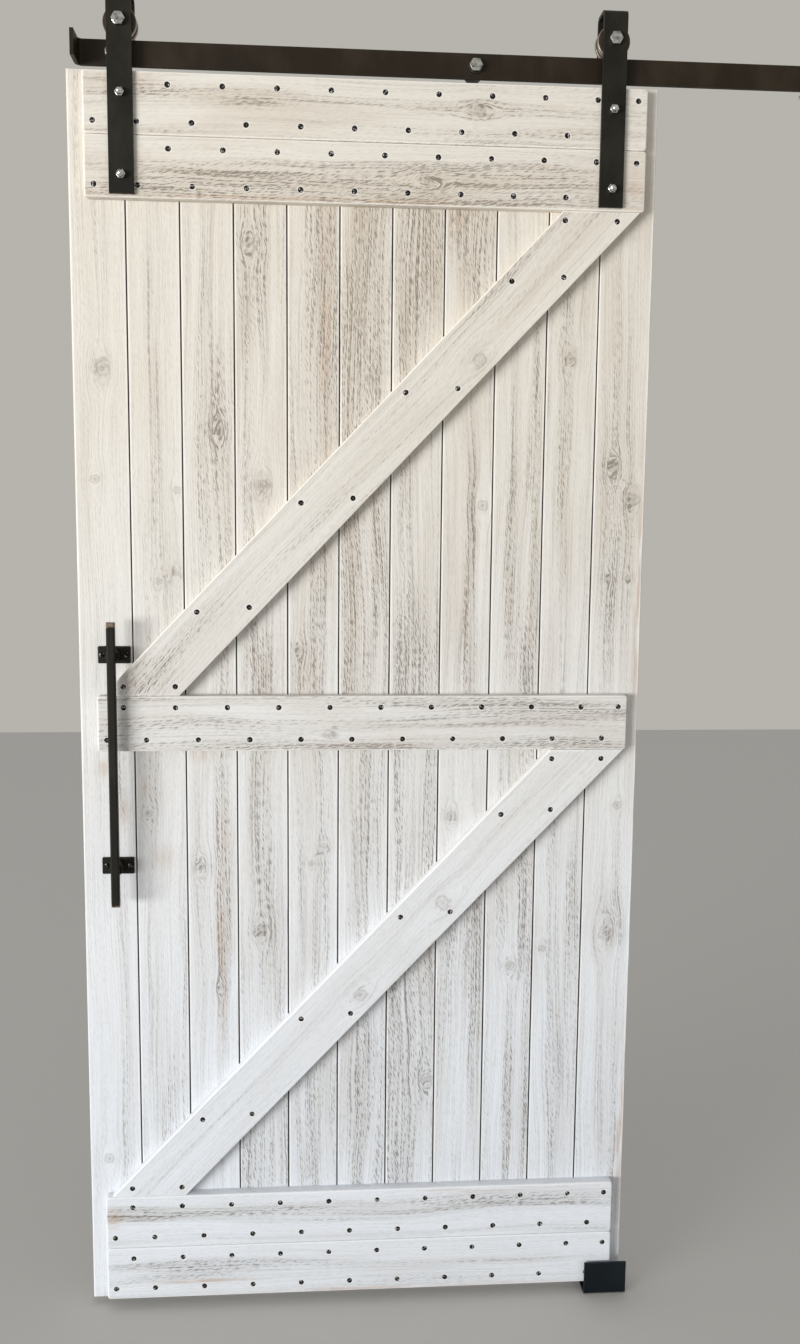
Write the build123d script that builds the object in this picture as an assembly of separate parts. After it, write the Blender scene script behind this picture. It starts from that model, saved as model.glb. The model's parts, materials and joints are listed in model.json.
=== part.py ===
from build123d import *
import os
from math import asin, atan2, cos, hypot, radians, sin, tan

# Sliding barn door: a ledged and braced door of tongue-and-groove planks that hangs by two folded
# straps from grooved wheels on a flat rail. All lengths are in millimetres.
# X runs along the rail, Y goes into the wall and Z goes up. The origin lies on the wall's face, in the
# middle of the row of rail bolts. The door is drawn shut, with its left hanger near the left stop.

# Rail, with both ends bent forward as stops
BOLT_SPACING = 590.0
BOLT_COUNT = 4
RAIL_HEIGHT = 40.0
RAIL_THICKNESS = 6.0
RAIL_LEFT_OVERHANG = 59.0
RAIL_RIGHT_OVERHANG = 39.0
STOP_REACH = 45.0
RAIL_BEND_RADIUS = 7.0
RAIL_STANDOFF = 33.0
SPACER_FLANGE_GAP = 0.5

# Coach bolts into the wall
WALL_BOLT_DIAMETER = 12.0
WALL_BOLT_THREAD_DIAMETER = 10.0
WALL_BOLT_THREAD_LENGTH = 60.0
WALL_BOLT_POINT = 8.0
BOLT_HEAD_FLATS = 19.0
WALL_BOLT_HEAD_HEIGHT = 8.0
WASHER_DIAMETER = 24.0
WASHER_THICKNESS = 2.5
BOLT_HOLE_PLAY = 1.0
HEX_FACE_SHARE = 0.95
HEX_CORNER_ANGLE = 25.0

# Planks
PLANK_COUNT = 11
PLANK_COVER = 88.0
OUTER_PLANK_EXTRA = 3.0
PLANK_THICKNESS = 20.0
PLANK_GAP = 1.0
PLANK_ARRIS = 1.5
TONGUE_LENGTH = 6.0
TONGUE_THICKNESS = 6.0
TONGUE_PLAY = 0.2
DOOR_HEIGHT = 2132.0

# Boards across the planks: a pair at the top, one in the middle and a pair at the bottom
BOARD_THICKNESS = 20.0
BOARD_WIDTH = 98.0
BOARD_GAP = 0.6
BOARD_TOP_MARGIN = 5.5
BOARD_BOTTOM_MARGIN = 6.0
BOARD_LEFT_INSET = 28.0
BOARD_RIGHT_INSET = 22.0
MIDDLE_BOARD_WIDTH = 96.0
MIDDLE_BOARD_RISE = 1064.3
MIDDLE_BOARD_LEFT_INSET = 31.0
MIDDLE_BOARD_RIGHT_INSET = 24.0
BOARD_CORNER_RADIUS = 5.0
BOARD_EDGE_RADIUS = 3.0

# Braces, cut level where they meet the boards
BRACE_WIDTH = 95.0
BRACE_LEFT_INSET = 40.0
BRACE_RIGHT_INSET = 28.0
BRACE_END_GAP = 0.3
BRACE_EDGE = 2.0
BRACE_TIP_CUT = 24.0

# Wood screws
SCREW_HEAD_DIAMETER = 8.0
SCREW_SHANK_DIAMETER = 4.0
SCREW_HEAD_DEPTH = 3.0
SCREW_END_COVER = 6.0
SCREW_POINT = 7.0
SCREW_PROUD = 0.3
SCREW_SIDES = 6
SCREW_EDGE_DISTANCE = 20.0
SCREW_FROM_PLANK_LEFT = 23.0
SCREW_FROM_PLANK_RIGHT = 15.0
END_SCREW_INSET = 16.0
BRACE_SCREW_EDGE = 18.5
BRACE_SCREW_END_RISE = 16.0

# Hangers: a flat strap folded over the wheel
HANGER_LEFT_INSET = 89.0
HANGER_RIGHT_INSET = 81.0
STRAP_WIDTH = 40.0
STRAP_THICKNESS = 6.0
STRAP_BEND_RADIUS = 5.0
FOLD_INSIDE = 36.0
FOLD_RISE = 47.0
STRAP_END_INSET = 5.1
STRAP_BACK_GAP = 6.0
UPPER_BOLT_INSET = 36.5
LOWER_BOLT_INSET = 34.1
CLOSED_STOP_GAP = 47.0
DOOR_RAIL_GAP = 5.0

# Carriage bolts and cap nuts that hold the straps to the door
STRAP_BOLT_DIAMETER = 8.0
STRAP_BOLT_PLAY = 0.6
CARRIAGE_HEAD_DIAMETER = 20.0
CARRIAGE_HEAD_HEIGHT = 4.5
CARRIAGE_NECK_STEP = 0.2
CARRIAGE_NECK_LENGTH = 5.0
NECK_PLAY = 0.2
CAP_NUT_FLATS = 13.0
CAP_NUT_HEX_HEIGHT = 7.0
CAP_NUT_HEIGHT = 15.0
CAP_NUT_DOME_DIAMETER = 11.6
CAP_NUT_BORE_DEPTH = 10.5
CAP_NUT_END_SPACE = 1.0

# Wheels, bearings and axles
WHEEL_DIAMETER = 54.0
WHEEL_WIDTH = 26.0
GROOVE_DEPTH = 3.5
GROOVE_PLAY = 1.5
GROOVE_FLARE = 1.0
WHEEL_ARRIS = 1.0
WHEEL_RUNNING_GAP = 0.3
AXLE_DIAMETER = 12.0
AXLE_HEAD_HEIGHT = 7.5
AXLE_NUT_THICKNESS = 6.0
AXLE_TIP = 2.0
BEARING_DIAMETER = 28.0
BEARING_WIDTH = 8.0
BEARING_INNER_RING_DIAMETER = 17.2
BEARING_CLEARANCE = 0.05
SEAT_CLEARANCE = 0.02
SLEEVE_STEP = 0.3
SLEEVE_CLEARANCE = 2.2

# Pull handle on the first plank
PLATE_SEAM_GAP = 4.0
PLATE_BRACE_GAP = 4.6
HANDLE_TOP_END = 58.5
HANDLE_BOTTOM_END = 63.0
HANDLE_WIDTH = 14.0
HANDLE_DEPTH = 13.0
HANDLE_EDGE = 2.0
HANDLE_STANDOFF = 32.0
POST_DIAMETER = 22.0
POST_SPACING = 370.5
PLATE_WIDTH = 55.0
PLATE_HEIGHT = 29.5
PLATE_THICKNESS = 3.0
PLATE_CORNER_RADIUS = 2.0
PLATE_SCREW_INSET = 7.0
PLATE_SCREW_HEAD_DIAMETER = 8.5
PLATE_SCREW_HEAD_HEIGHT = 2.5
PLATE_SCREW_LENGTH = 18.0

# Floor guide: a steel channel that the bottom edge slides in
DOOR_FLOOR_GAP = 14.0
GUIDE_LENGTH = 78.0
GUIDE_HEIGHT = 62.0
GUIDE_PLATE = 4.0
GUIDE_BEND_RADIUS = 2.0
GUIDE_PLAY = 5.0
GUIDE_OVERHANG = 6.0
GUIDE_SCREW_INSET = 17.0
GUIDE_SCREW_DIAMETER = 5.0
GUIDE_SCREW_THREAD_DIAMETER = 4.4
GUIDE_SCREW_HEAD_DIAMETER = 10.0
GUIDE_SCREW_HEAD_DEPTH = 2.8
GUIDE_SCREW_THREAD_LENGTH = 36.0
GUIDE_SCREW_PLAY = 0.5

# Sizes that follow from the ones above
SPACER_DIAMETER = RAIL_HEIGHT - 2 * (GROOVE_DEPTH + SPACER_FLANGE_GAP)
GROOVE_WIDTH = RAIL_THICKNESS + 2 * GROOVE_PLAY
SLEEVE_DIAMETER = BEARING_INNER_RING_DIAMETER - 2 * SLEEVE_STEP
WHEEL_BACK_OPENING = SLEEVE_DIAMETER + 2 * SLEEVE_CLEARANCE
CARRIAGE_NECK_WIDTH = STRAP_BOLT_DIAMETER + 2 * CARRIAGE_NECK_STEP
SCREW_LENGTH = BOARD_THICKNESS + PLANK_THICKNESS - SCREW_END_COVER
PLATE_SCREW_SPACING = PLATE_WIDTH - 2 * PLATE_SCREW_INSET
GUIDE_SCREW_SPACING = GUIDE_LENGTH - 2 * GUIDE_SCREW_INSET

# Places along Y, from the wall to the front
RAIL_BACK_Y = -RAIL_STANDOFF
RAIL_FRONT_Y = RAIL_BACK_Y - RAIL_THICKNESS
RAIL_MID_Y = (RAIL_BACK_Y + RAIL_FRONT_Y) / 2
STRAP_BACK_FACE_Y = RAIL_MID_Y - FOLD_INSIDE / 2
STRAP_FRONT_Y = STRAP_BACK_FACE_Y - STRAP_THICKNESS
FOLD_BACK_INNER_Y = RAIL_MID_Y + FOLD_INSIDE / 2
FOLD_BACK_Y = FOLD_BACK_INNER_Y + STRAP_THICKNESS
BOARD_FRONT_Y = STRAP_BACK_FACE_Y
PLANK_FRONT_Y = BOARD_FRONT_Y + BOARD_THICKNESS
PLANK_BACK_Y = PLANK_FRONT_Y + PLANK_THICKNESS
PLANK_MID_Y = (PLANK_FRONT_Y + PLANK_BACK_Y) / 2
BAR_BACK_Y = PLANK_FRONT_Y - HANDLE_STANDOFF

# Places along X
FIRST_BOLT_X = -(BOLT_COUNT - 1) * BOLT_SPACING / 2
RAIL_LEFT_X = FIRST_BOLT_X - RAIL_LEFT_OVERHANG
RAIL_RIGHT_X = -FIRST_BOLT_X + RAIL_RIGHT_OVERHANG
LEFT_STRAP_EDGE_X = RAIL_LEFT_X + RAIL_THICKNESS + CLOSED_STOP_GAP
HANGER_LEFT_X = LEFT_STRAP_EDGE_X + STRAP_WIDTH / 2
DOOR_LEFT_X = HANGER_LEFT_X - HANGER_LEFT_INSET
DOOR_WIDTH = PLANK_COUNT * PLANK_COVER + 2 * OUTER_PLANK_EXTRA
DOOR_RIGHT_X = DOOR_LEFT_X + DOOR_WIDTH
HANGER_RIGHT_X = DOOR_RIGHT_X - HANGER_RIGHT_INSET
HANDLE_X = DOOR_LEFT_X + OUTER_PLANK_EXTRA + PLANK_COVER - PLATE_SEAM_GAP - PLATE_WIDTH / 2
BRACE_LEFT_X = DOOR_LEFT_X + BRACE_LEFT_INSET
BRACE_RIGHT_X = DOOR_RIGHT_X - BRACE_RIGHT_INSET
GUIDE_RIGHT_X = DOOR_RIGHT_X + GUIDE_OVERHANG
GUIDE_MID_X = GUIDE_RIGHT_X - GUIDE_LENGTH / 2

# Places along Z
RAIL_TOP_Z = RAIL_HEIGHT / 2
TREAD_RADIUS = WHEEL_DIAMETER / 2 - GROOVE_DEPTH
AXLE_Z = RAIL_TOP_Z + WHEEL_RUNNING_GAP + TREAD_RADIUS
DOOR_TOP_Z = -RAIL_HEIGHT / 2 - DOOR_RAIL_GAP
DOOR_BOTTOM_Z = DOOR_TOP_Z - DOOR_HEIGHT
FLOOR_Z = DOOR_BOTTOM_Z - DOOR_FLOOR_GAP
TOP_BOARD_Z = DOOR_TOP_Z - BOARD_TOP_MARGIN
BOTTOM_BOARD_Z = DOOR_BOTTOM_Z + BOARD_BOTTOM_MARGIN
MIDDLE_BOARD_Z = DOOR_BOTTOM_Z + MIDDLE_BOARD_RISE
PAIR_HEIGHT = 2 * BOARD_WIDTH + BOARD_GAP
TOP_PAIR_BOTTOM_Z = TOP_BOARD_Z - PAIR_HEIGHT
STRAP_BOTTOM_Z = TOP_PAIR_BOTTOM_Z + STRAP_END_INSET
MIDDLE_BOARD_TOP_Z = MIDDLE_BOARD_Z + MIDDLE_BOARD_WIDTH / 2
MIDDLE_BOARD_BOTTOM_Z = MIDDLE_BOARD_Z - MIDDLE_BOARD_WIDTH / 2

HANGERS = {"left": HANGER_LEFT_X, "right": HANGER_RIGHT_X}


def to_front(x, y, z):
    """Places a piece drawn upwards from its base so that it points out of the wall."""
    return Pos(x, y, z) * Rot(90, 0, 0)


def to_wall(x, y, z):
    """Places a piece drawn upwards from its base so that it points into the wall."""
    return Pos(x, y, z) * Rot(-90, 0, 0)


def peg(radius, bottom, top):
    """A round bar along the local Z axis."""
    return Pos(0, 0, (bottom + top) / 2) * Cylinder(radius, top - bottom)


def turned(*outline):
    """Turns an outline of (radius, height) points about the local Z axis."""
    return revolve(make_face(Plane.XZ * Polyline(*outline, close=True)), Axis.Z)


def hexagon(flats, height):
    """A hexagonal head or nut whose outer corners are turned off."""
    face_radius = flats / 2 * HEX_FACE_SHARE
    outside = flats
    drop = (outside - face_radius) * tan(radians(HEX_CORNER_ANGLE))
    prism = extrude(RegularPolygon(flats / 2, 6, major_radius=False), height)
    return prism & turned((0, 0), (outside, 0), (outside, height - drop), (face_radius, height), (0, height))


def upright(face, width, middle_x=0.0):
    """Extrudes a section drawn in Y and Z to a width along X."""
    return Pos(middle_x - width / 2, 0, 0) * extrude(Plane.YZ * face, width)


def rail():
    """Flat bar on edge, its two ends bent forward."""
    stop_y = RAIL_FRONT_Y - STOP_REACH
    length = RAIL_RIGHT_X - RAIL_LEFT_X
    middle_x = (RAIL_LEFT_X + RAIL_RIGHT_X) / 2
    outer = Pos(middle_x, (RAIL_BACK_Y + stop_y) / 2) * Rectangle(length, RAIL_BACK_Y - stop_y)
    outer = fillet(outer.vertices().group_by(Axis.Y)[-1], RAIL_BEND_RADIUS + RAIL_THICKNESS)
    inner = Pos(middle_x, RAIL_FRONT_Y - STOP_REACH) * Rectangle(length - 2 * RAIL_THICKNESS, 2 * STOP_REACH)
    inner = fillet(inner.vertices().group_by(Axis.Y)[-1], RAIL_BEND_RADIUS)
    bar = Pos(0, 0, -RAIL_HEIGHT / 2) * extrude(outer - inner, RAIL_HEIGHT)
    hole_radius = (WALL_BOLT_DIAMETER + BOLT_HOLE_PLAY) / 2
    for x in bolt_columns():
        bar -= to_wall(x, RAIL_FRONT_Y, 0) * peg(hole_radius, -RAIL_THICKNESS, 2 * RAIL_THICKNESS)
    return bar


def bolt_columns():
    return [FIRST_BOLT_X + index * BOLT_SPACING for index in range(BOLT_COUNT)]


def collar(outer_diameter, inner_diameter, length):
    """A plain ring that stands on its base."""
    return turned((inner_diameter / 2, 0), (outer_diameter / 2, 0), (outer_diameter / 2, length),
                  (inner_diameter / 2, length))


def rail_spacer(x):
    return to_front(x, 0, 0) * collar(SPACER_DIAMETER, WALL_BOLT_DIAMETER + BOLT_HOLE_PLAY, RAIL_STANDOFF)


def rail_washers():
    washer = collar(WASHER_DIAMETER, WALL_BOLT_DIAMETER + BOLT_HOLE_PLAY, WASHER_THICKNESS)
    return Compound([to_front(x, RAIL_FRONT_Y, 0) * washer for x in bolt_columns()])


def wall_bolt(x):
    """Coach bolt: hexagonal head, plain neck as far as the wall, then the threaded length."""
    seat_y = RAIL_FRONT_Y - WASHER_THICKNESS
    neck = -seat_y
    radius = WALL_BOLT_THREAD_DIAMETER / 2
    end = neck + WALL_BOLT_THREAD_LENGTH
    stem = turned((0, 0), (WALL_BOLT_DIAMETER / 2, 0), (WALL_BOLT_DIAMETER / 2, neck), (radius, neck),
                  (radius, end - WALL_BOLT_POINT), (radius / 4, end), (0, end))
    head = to_front(x, seat_y, 0) * hexagon(BOLT_HEAD_FLATS, WALL_BOLT_HEAD_HEIGHT)
    return head + to_wall(x, seat_y, 0) * stem


def plank_left(index):
    """Where the width that a plank covers begins, counted from 0 at the left."""
    return DOOR_LEFT_X + OUTER_PLANK_EXTRA + index * PLANK_COVER


def plank_edges(index):
    """The left and right faces of a plank."""
    left = plank_left(index) + PLANK_GAP / 2
    right = left + PLANK_COVER - PLANK_GAP
    if index == 0:
        left = DOOR_LEFT_X
    if index == PLANK_COUNT - 1:
        right = DOOR_RIGHT_X
    return left, right


def plank_section(index):
    """Section of one plank: eased front corners, a groove on the left and a tongue on the right."""
    left, right = plank_edges(index)
    half_tongue = TONGUE_THICKNESS / 2
    half_groove = half_tongue + TONGUE_PLAY
    points = [(left + PLANK_ARRIS, PLANK_FRONT_Y), (right - PLANK_ARRIS, PLANK_FRONT_Y),
              (right, PLANK_FRONT_Y + PLANK_ARRIS)]
    if index < PLANK_COUNT - 1:
        points += [(right, PLANK_MID_Y - half_tongue), (right + TONGUE_LENGTH, PLANK_MID_Y - half_tongue),
                   (right + TONGUE_LENGTH, PLANK_MID_Y + half_tongue), (right, PLANK_MID_Y + half_tongue)]
    points += [(right, PLANK_BACK_Y), (left, PLANK_BACK_Y)]
    if index > 0:
        points += [(left, PLANK_MID_Y + half_groove), (left + TONGUE_LENGTH, PLANK_MID_Y + half_groove),
                   (left + TONGUE_LENGTH, PLANK_MID_Y - half_groove), (left, PLANK_MID_Y - half_groove)]
    points.append((left, PLANK_FRONT_Y + PLANK_ARRIS))
    return Polygon(*points, align=None)


def strap_bolt_places(x):
    return [(x, TOP_BOARD_Z - UPPER_BOLT_INSET), (x, TOP_PAIR_BOTTOM_Z + LOWER_BOLT_INSET)]


def strap_bolt_bore(x, z):
    """Clearance for a carriage bolt from the door's back to its front, with the square neck's seat."""
    depth = PLANK_THICKNESS + BOARD_THICKNESS
    side = CARRIAGE_NECK_WIDTH + NECK_PLAY
    bore = peg((STRAP_BOLT_DIAMETER + STRAP_BOLT_PLAY) / 2, -1, depth + 1)
    neck = Pos(0, 0, CARRIAGE_NECK_LENGTH / 2 - 0.5) * Box(side, side, CARRIAGE_NECK_LENGTH + 1)
    return to_front(x, PLANK_BACK_Y, z) * (bore + neck)


def plank(index):
    left, right = plank_edges(index)
    piece = Pos(0, 0, DOOR_BOTTOM_Z) * extrude(plank_section(index), DOOR_HEIGHT)
    for hanger_x in HANGERS.values():
        if left - STRAP_BOLT_DIAMETER < hanger_x < right + TONGUE_LENGTH + STRAP_BOLT_DIAMETER:
            for x, z in strap_bolt_places(hanger_x):
                piece -= strap_bolt_bore(x, z)
    return piece


def front_plane(y):
    return Plane(origin=(0, y, 0), x_dir=(1, 0, 0), z_dir=(0, -1, 0))


def board(left, right, bottom, top):
    """A board with rounded corners and a rounded front edge, drilled where a strap bolt crosses it."""
    outline = Pos((left + right) / 2, (bottom + top) / 2) * RectangleRounded(
        right - left, top - bottom, BOARD_CORNER_RADIUS)
    piece = extrude(front_plane(PLANK_FRONT_Y) * outline, BOARD_THICKNESS)
    piece = fillet(piece.faces().sort_by(Axis.Y)[0].edges(), BOARD_EDGE_RADIUS)
    for hanger_x in HANGERS.values():
        for x, z in strap_bolt_places(hanger_x):
            if bottom < z < top:
                piece -= strap_bolt_bore(x, z)
    return piece


def board_places():
    """Left, right, bottom and top of each of the five boards."""
    left = DOOR_LEFT_X + BOARD_LEFT_INSET
    right = DOOR_RIGHT_X - BOARD_RIGHT_INSET
    step = BOARD_WIDTH + BOARD_GAP
    return {
        "top_board_upper": (left, right, TOP_BOARD_Z - BOARD_WIDTH, TOP_BOARD_Z),
        "top_board_lower": (left, right, TOP_PAIR_BOTTOM_Z, TOP_BOARD_Z - step),
        "middle_board": (DOOR_LEFT_X + MIDDLE_BOARD_LEFT_INSET, DOOR_RIGHT_X - MIDDLE_BOARD_RIGHT_INSET,
                         MIDDLE_BOARD_BOTTOM_Z, MIDDLE_BOARD_TOP_Z),
        "bottom_board_upper": (left, right, BOTTOM_BOARD_Z + step, BOTTOM_BOARD_Z + step + BOARD_WIDTH),
        "bottom_board_lower": (left, right, BOTTOM_BOARD_Z, BOTTOM_BOARD_Z + BOARD_WIDTH),
    }


def brace_places():
    """Bottom and top of each brace, between the boards that it meets."""
    return {
        "brace_upper": (MIDDLE_BOARD_TOP_Z + BRACE_END_GAP, TOP_PAIR_BOTTOM_Z - BRACE_END_GAP),
        "brace_lower": (BOTTOM_BOARD_Z + PAIR_HEIGHT + BRACE_END_GAP, MIDDLE_BOARD_BOTTOM_Z - BRACE_END_GAP),
    }


def brace_slope(bottom, top):
    """The angle at which a brace of its width runs from corner to corner of its bay."""
    run = BRACE_RIGHT_X - BRACE_LEFT_X
    rise = top - bottom
    return atan2(rise, run) + asin(BRACE_WIDTH / hypot(run, rise))


def brace_edge_z(x, bottom, top):
    """Height of a brace's upper edge, which rises from its left lower corner."""
    return bottom + (x - BRACE_LEFT_X) * tan(brace_slope(bottom, top))


def brace(bottom, top, tip_cut=0.0):
    """A brace with level ends. Its left tip may be cut off upright."""
    level_width = BRACE_WIDTH / sin(brace_slope(bottom, top))
    tip_x = BRACE_LEFT_X + tip_cut
    points = [(BRACE_LEFT_X + level_width, bottom), (BRACE_RIGHT_X, top), (BRACE_RIGHT_X - level_width, top)]
    if tip_cut > 0:
        points.append((tip_x, brace_edge_z(tip_x, bottom, top)))
    points.append((tip_x, bottom))
    piece = extrude(front_plane(PLANK_FRONT_Y) * Polygon(*points, align=None), BOARD_THICKNESS)
    return chamfer(piece.faces().sort_by(Axis.Y)[0].edges(), BRACE_EDGE)


def many_sided(radius, height):
    return Pos(0, 0, height) * RegularPolygon(radius, SCREW_SIDES)


def wood_screw():
    """Countersunk screw that points down from its head's top face."""
    head_radius = SCREW_HEAD_DIAMETER / 2
    shank_radius = SCREW_SHANK_DIAMETER / 2
    shank_end = -(SCREW_LENGTH - SCREW_POINT)
    head = loft([many_sided(head_radius, 0), many_sided(shank_radius, -SCREW_HEAD_DEPTH)])
    shank = extrude(many_sided(shank_radius, shank_end), -SCREW_HEAD_DEPTH - shank_end)
    point = loft([many_sided(shank_radius, shank_end), many_sided(shank_radius / 6, -SCREW_LENGTH)])
    return head + shank + point


def screw_front_y(x, z):
    """A head stands a little proud of the wood, or flush with it where a strap lies over it."""
    reach = (STRAP_WIDTH + SCREW_HEAD_DIAMETER) / 2
    beside_strap = any(abs(x - hanger_x) < reach for hanger_x in HANGERS.values())
    if beside_strap and z > STRAP_BOTTOM_Z - SCREW_HEAD_DIAMETER:
        return BOARD_FRONT_Y
    return BOARD_FRONT_Y - SCREW_PROUD


def screws_at(places):
    """Copies the wood screw to each (x, z) on the front of a board or brace."""
    screw = wood_screw()
    return Compound([to_front(x, screw_front_y(x, z), z) * screw for x, z in places])


def left_screw_x(index):
    return plank_left(index) + SCREW_FROM_PLANK_LEFT


def right_screw_x(index):
    return plank_left(index + 1) - SCREW_FROM_PLANK_RIGHT


def board_screw_places(left, right, bottom, top):
    """Two rows, with one screw of each row in every plank."""
    places = []
    for index in range(PLANK_COUNT):
        upper_x = min(right_screw_x(index), right - END_SCREW_INSET)
        lower_x = max(left_screw_x(index), left + END_SCREW_INSET)
        places.append((upper_x, top - SCREW_EDGE_DISTANCE))
        places.append((lower_x, bottom + SCREW_EDGE_DISTANCE))
    return places


def brace_screw_places(bottom, top):
    """A pair at each end, and one screw to a plank between, by turns near either edge."""
    low = bottom + BRACE_SCREW_END_RISE
    high = top - BRACE_SCREW_END_RISE
    places = [(right_screw_x(index), low) for index in range(2)]
    places += [(left_screw_x(index), high) for index in range(PLANK_COUNT - 2, PLANK_COUNT)]
    slope = brace_slope(bottom, top)
    for index in range(2, PLANK_COUNT - 1):
        x = left_screw_x(index)
        from_edge = BRACE_SCREW_EDGE if index % 2 == 0 else BRACE_WIDTH - BRACE_SCREW_EDGE
        places.append((x, brace_edge_z(x, bottom, top) - from_edge / cos(slope)))
    return places


def strap_section():
    """Side view of a hanger: a long front leg, a fold over the wheel and a short back leg."""
    top = AXLE_Z + FOLD_RISE
    height = top - STRAP_BOTTOM_Z
    depth = FOLD_BACK_Y - STRAP_FRONT_Y
    outer = Pos(RAIL_MID_Y, top - height / 2) * Rectangle(depth, height)
    outer = fillet(outer.vertices().group_by(Axis.Y)[-1], STRAP_BEND_RADIUS + STRAP_THICKNESS)
    inner = Pos(RAIL_MID_Y, top - STRAP_THICKNESS - height / 2) * Rectangle(FOLD_INSIDE, height)
    inner = fillet(inner.vertices().group_by(Axis.Y)[-1], STRAP_BEND_RADIUS)
    back_end = RAIL_TOP_Z + STRAP_BACK_GAP
    below_height = back_end - STRAP_BOTTOM_Z
    below = Pos(FOLD_BACK_Y, back_end - below_height / 2) * Rectangle(2 * STRAP_THICKNESS, below_height)
    return outer - inner - below


def hanger(x):
    strap = upright(strap_section(), STRAP_WIDTH, x)
    depth = FOLD_BACK_Y - STRAP_FRONT_Y
    axle_hole = peg(AXLE_DIAMETER / 2 + SEAT_CLEARANCE, -1, depth + 1)
    bolt_hole = peg((STRAP_BOLT_DIAMETER + STRAP_BOLT_PLAY) / 2, -1, STRAP_THICKNESS + 1)
    strap -= to_wall(x, STRAP_FRONT_Y, AXLE_Z) * axle_hole
    for place_x, z in strap_bolt_places(x):
        strap -= to_wall(place_x, STRAP_FRONT_Y, z) * bolt_hole
    return strap


def carriage_bolt():
    """Domed head and square neck at the door's back, shank through to the cap nut in front."""
    reach = PLANK_BACK_Y - STRAP_FRONT_Y + CAP_NUT_BORE_DEPTH - CAP_NUT_END_SPACE
    rim_radius = CARRIAGE_HEAD_DIAMETER / 2
    crown = (0, -CARRIAGE_HEAD_HEIGHT)
    ball_radius = (rim_radius ** 2 + CARRIAGE_HEAD_HEIGHT ** 2) / (2 * CARRIAGE_HEAD_HEIGHT)
    dome = Line((0, 0), (rim_radius, 0)) + RadiusArc((rim_radius, 0), crown, ball_radius) + Line(crown, (0, 0))
    head = revolve(make_face(Plane.XZ * dome), Axis.Z)
    neck = Pos(0, 0, CARRIAGE_NECK_LENGTH / 2) * Box(CARRIAGE_NECK_WIDTH, CARRIAGE_NECK_WIDTH,
                                                     CARRIAGE_NECK_LENGTH)
    return head + neck + peg(STRAP_BOLT_DIAMETER / 2, CARRIAGE_NECK_LENGTH, reach)


def strap_bolts(x):
    bolt = carriage_bolt()
    return Compound([to_front(place_x, PLANK_BACK_Y, z) * bolt for place_x, z in strap_bolt_places(x)])


def cap_nut():
    """Hexagonal nut closed by a dome, with a blind bore."""
    dome_radius = CAP_NUT_DOME_DIAMETER / 2
    spring = CAP_NUT_HEIGHT - dome_radius
    side = Line((0, 0), (dome_radius, 0)) + Line((dome_radius, 0), (dome_radius, spring))
    crown = RadiusArc((dome_radius, spring), (0, CAP_NUT_HEIGHT), -dome_radius)
    dome = revolve(make_face(Plane.XZ * (side + crown + Line((0, CAP_NUT_HEIGHT), (0, 0)))), Axis.Z)
    body = dome + hexagon(CAP_NUT_FLATS, CAP_NUT_HEX_HEIGHT)
    return body - peg(STRAP_BOLT_DIAMETER / 2 + SEAT_CLEARANCE, -1, CAP_NUT_BORE_DEPTH)


def cap_nuts(x):
    nut = cap_nut()
    return Compound([to_front(place_x, STRAP_FRONT_Y, z) * nut for place_x, z in strap_bolt_places(x)])


def wheel(x):
    """Grooved wheel. The bearing's seat opens at the front and ends at a shoulder."""
    rim = WHEEL_DIAMETER / 2
    half = WHEEL_WIDTH / 2
    groove = GROOVE_WIDTH / 2
    seat = BEARING_DIAMETER / 2 + SEAT_CLEARANCE
    shoulder = -BEARING_WIDTH / 2
    back = WHEEL_BACK_OPENING / 2
    outline = turned((seat, half), (rim - WHEEL_ARRIS, half), (rim, half - WHEEL_ARRIS),
                     (rim, groove + GROOVE_FLARE), (TREAD_RADIUS, groove), (TREAD_RADIUS, -groove),
                     (rim, -groove - GROOVE_FLARE), (rim, -half + WHEEL_ARRIS), (rim - WHEEL_ARRIS, -half),
                     (back, -half), (back, shoulder), (seat, shoulder))
    return to_front(x, RAIL_MID_Y, AXLE_Z) * outline


def centred_collar(outer_diameter, inner_diameter, length):
    return Pos(0, 0, -length / 2) * collar(outer_diameter, inner_diameter, length)


def bearing_outer(x):
    """Outer ring, balls and seals of the ball bearing, as one closed ring pressed into the wheel."""
    bore = BEARING_INNER_RING_DIAMETER + 2 * BEARING_CLEARANCE
    return to_front(x, RAIL_MID_Y, AXLE_Z) * centred_collar(BEARING_DIAMETER, bore, BEARING_WIDTH)


def bearing_inner(x):
    """Inner ring, held still on the axle between the sleeves."""
    bore = AXLE_DIAMETER + 2 * SEAT_CLEARANCE
    ring = centred_collar(BEARING_INNER_RING_DIAMETER, bore, BEARING_WIDTH)
    return to_front(x, RAIL_MID_Y, AXLE_Z) * ring


def axle_sleeves(x):
    """The two tubes that keep the inner ring midway between the strap's legs."""
    length = (FOLD_INSIDE - BEARING_WIDTH) / 2
    tube = collar(SLEEVE_DIAMETER, AXLE_DIAMETER + 2 * SEAT_CLEARANCE, length)
    front = to_wall(x, STRAP_BACK_FACE_Y, AXLE_Z) * tube
    back = to_front(x, FOLD_BACK_INNER_Y, AXLE_Z) * tube
    return Compound([front, back])


def axle_bolt(x):
    length = FOLD_BACK_Y - STRAP_FRONT_Y + AXLE_NUT_THICKNESS + AXLE_TIP
    head = to_front(x, STRAP_FRONT_Y, AXLE_Z) * hexagon(BOLT_HEAD_FLATS, AXLE_HEAD_HEIGHT)
    return head + to_wall(x, STRAP_FRONT_Y, AXLE_Z) * peg(AXLE_DIAMETER / 2, 0, length)


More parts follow.
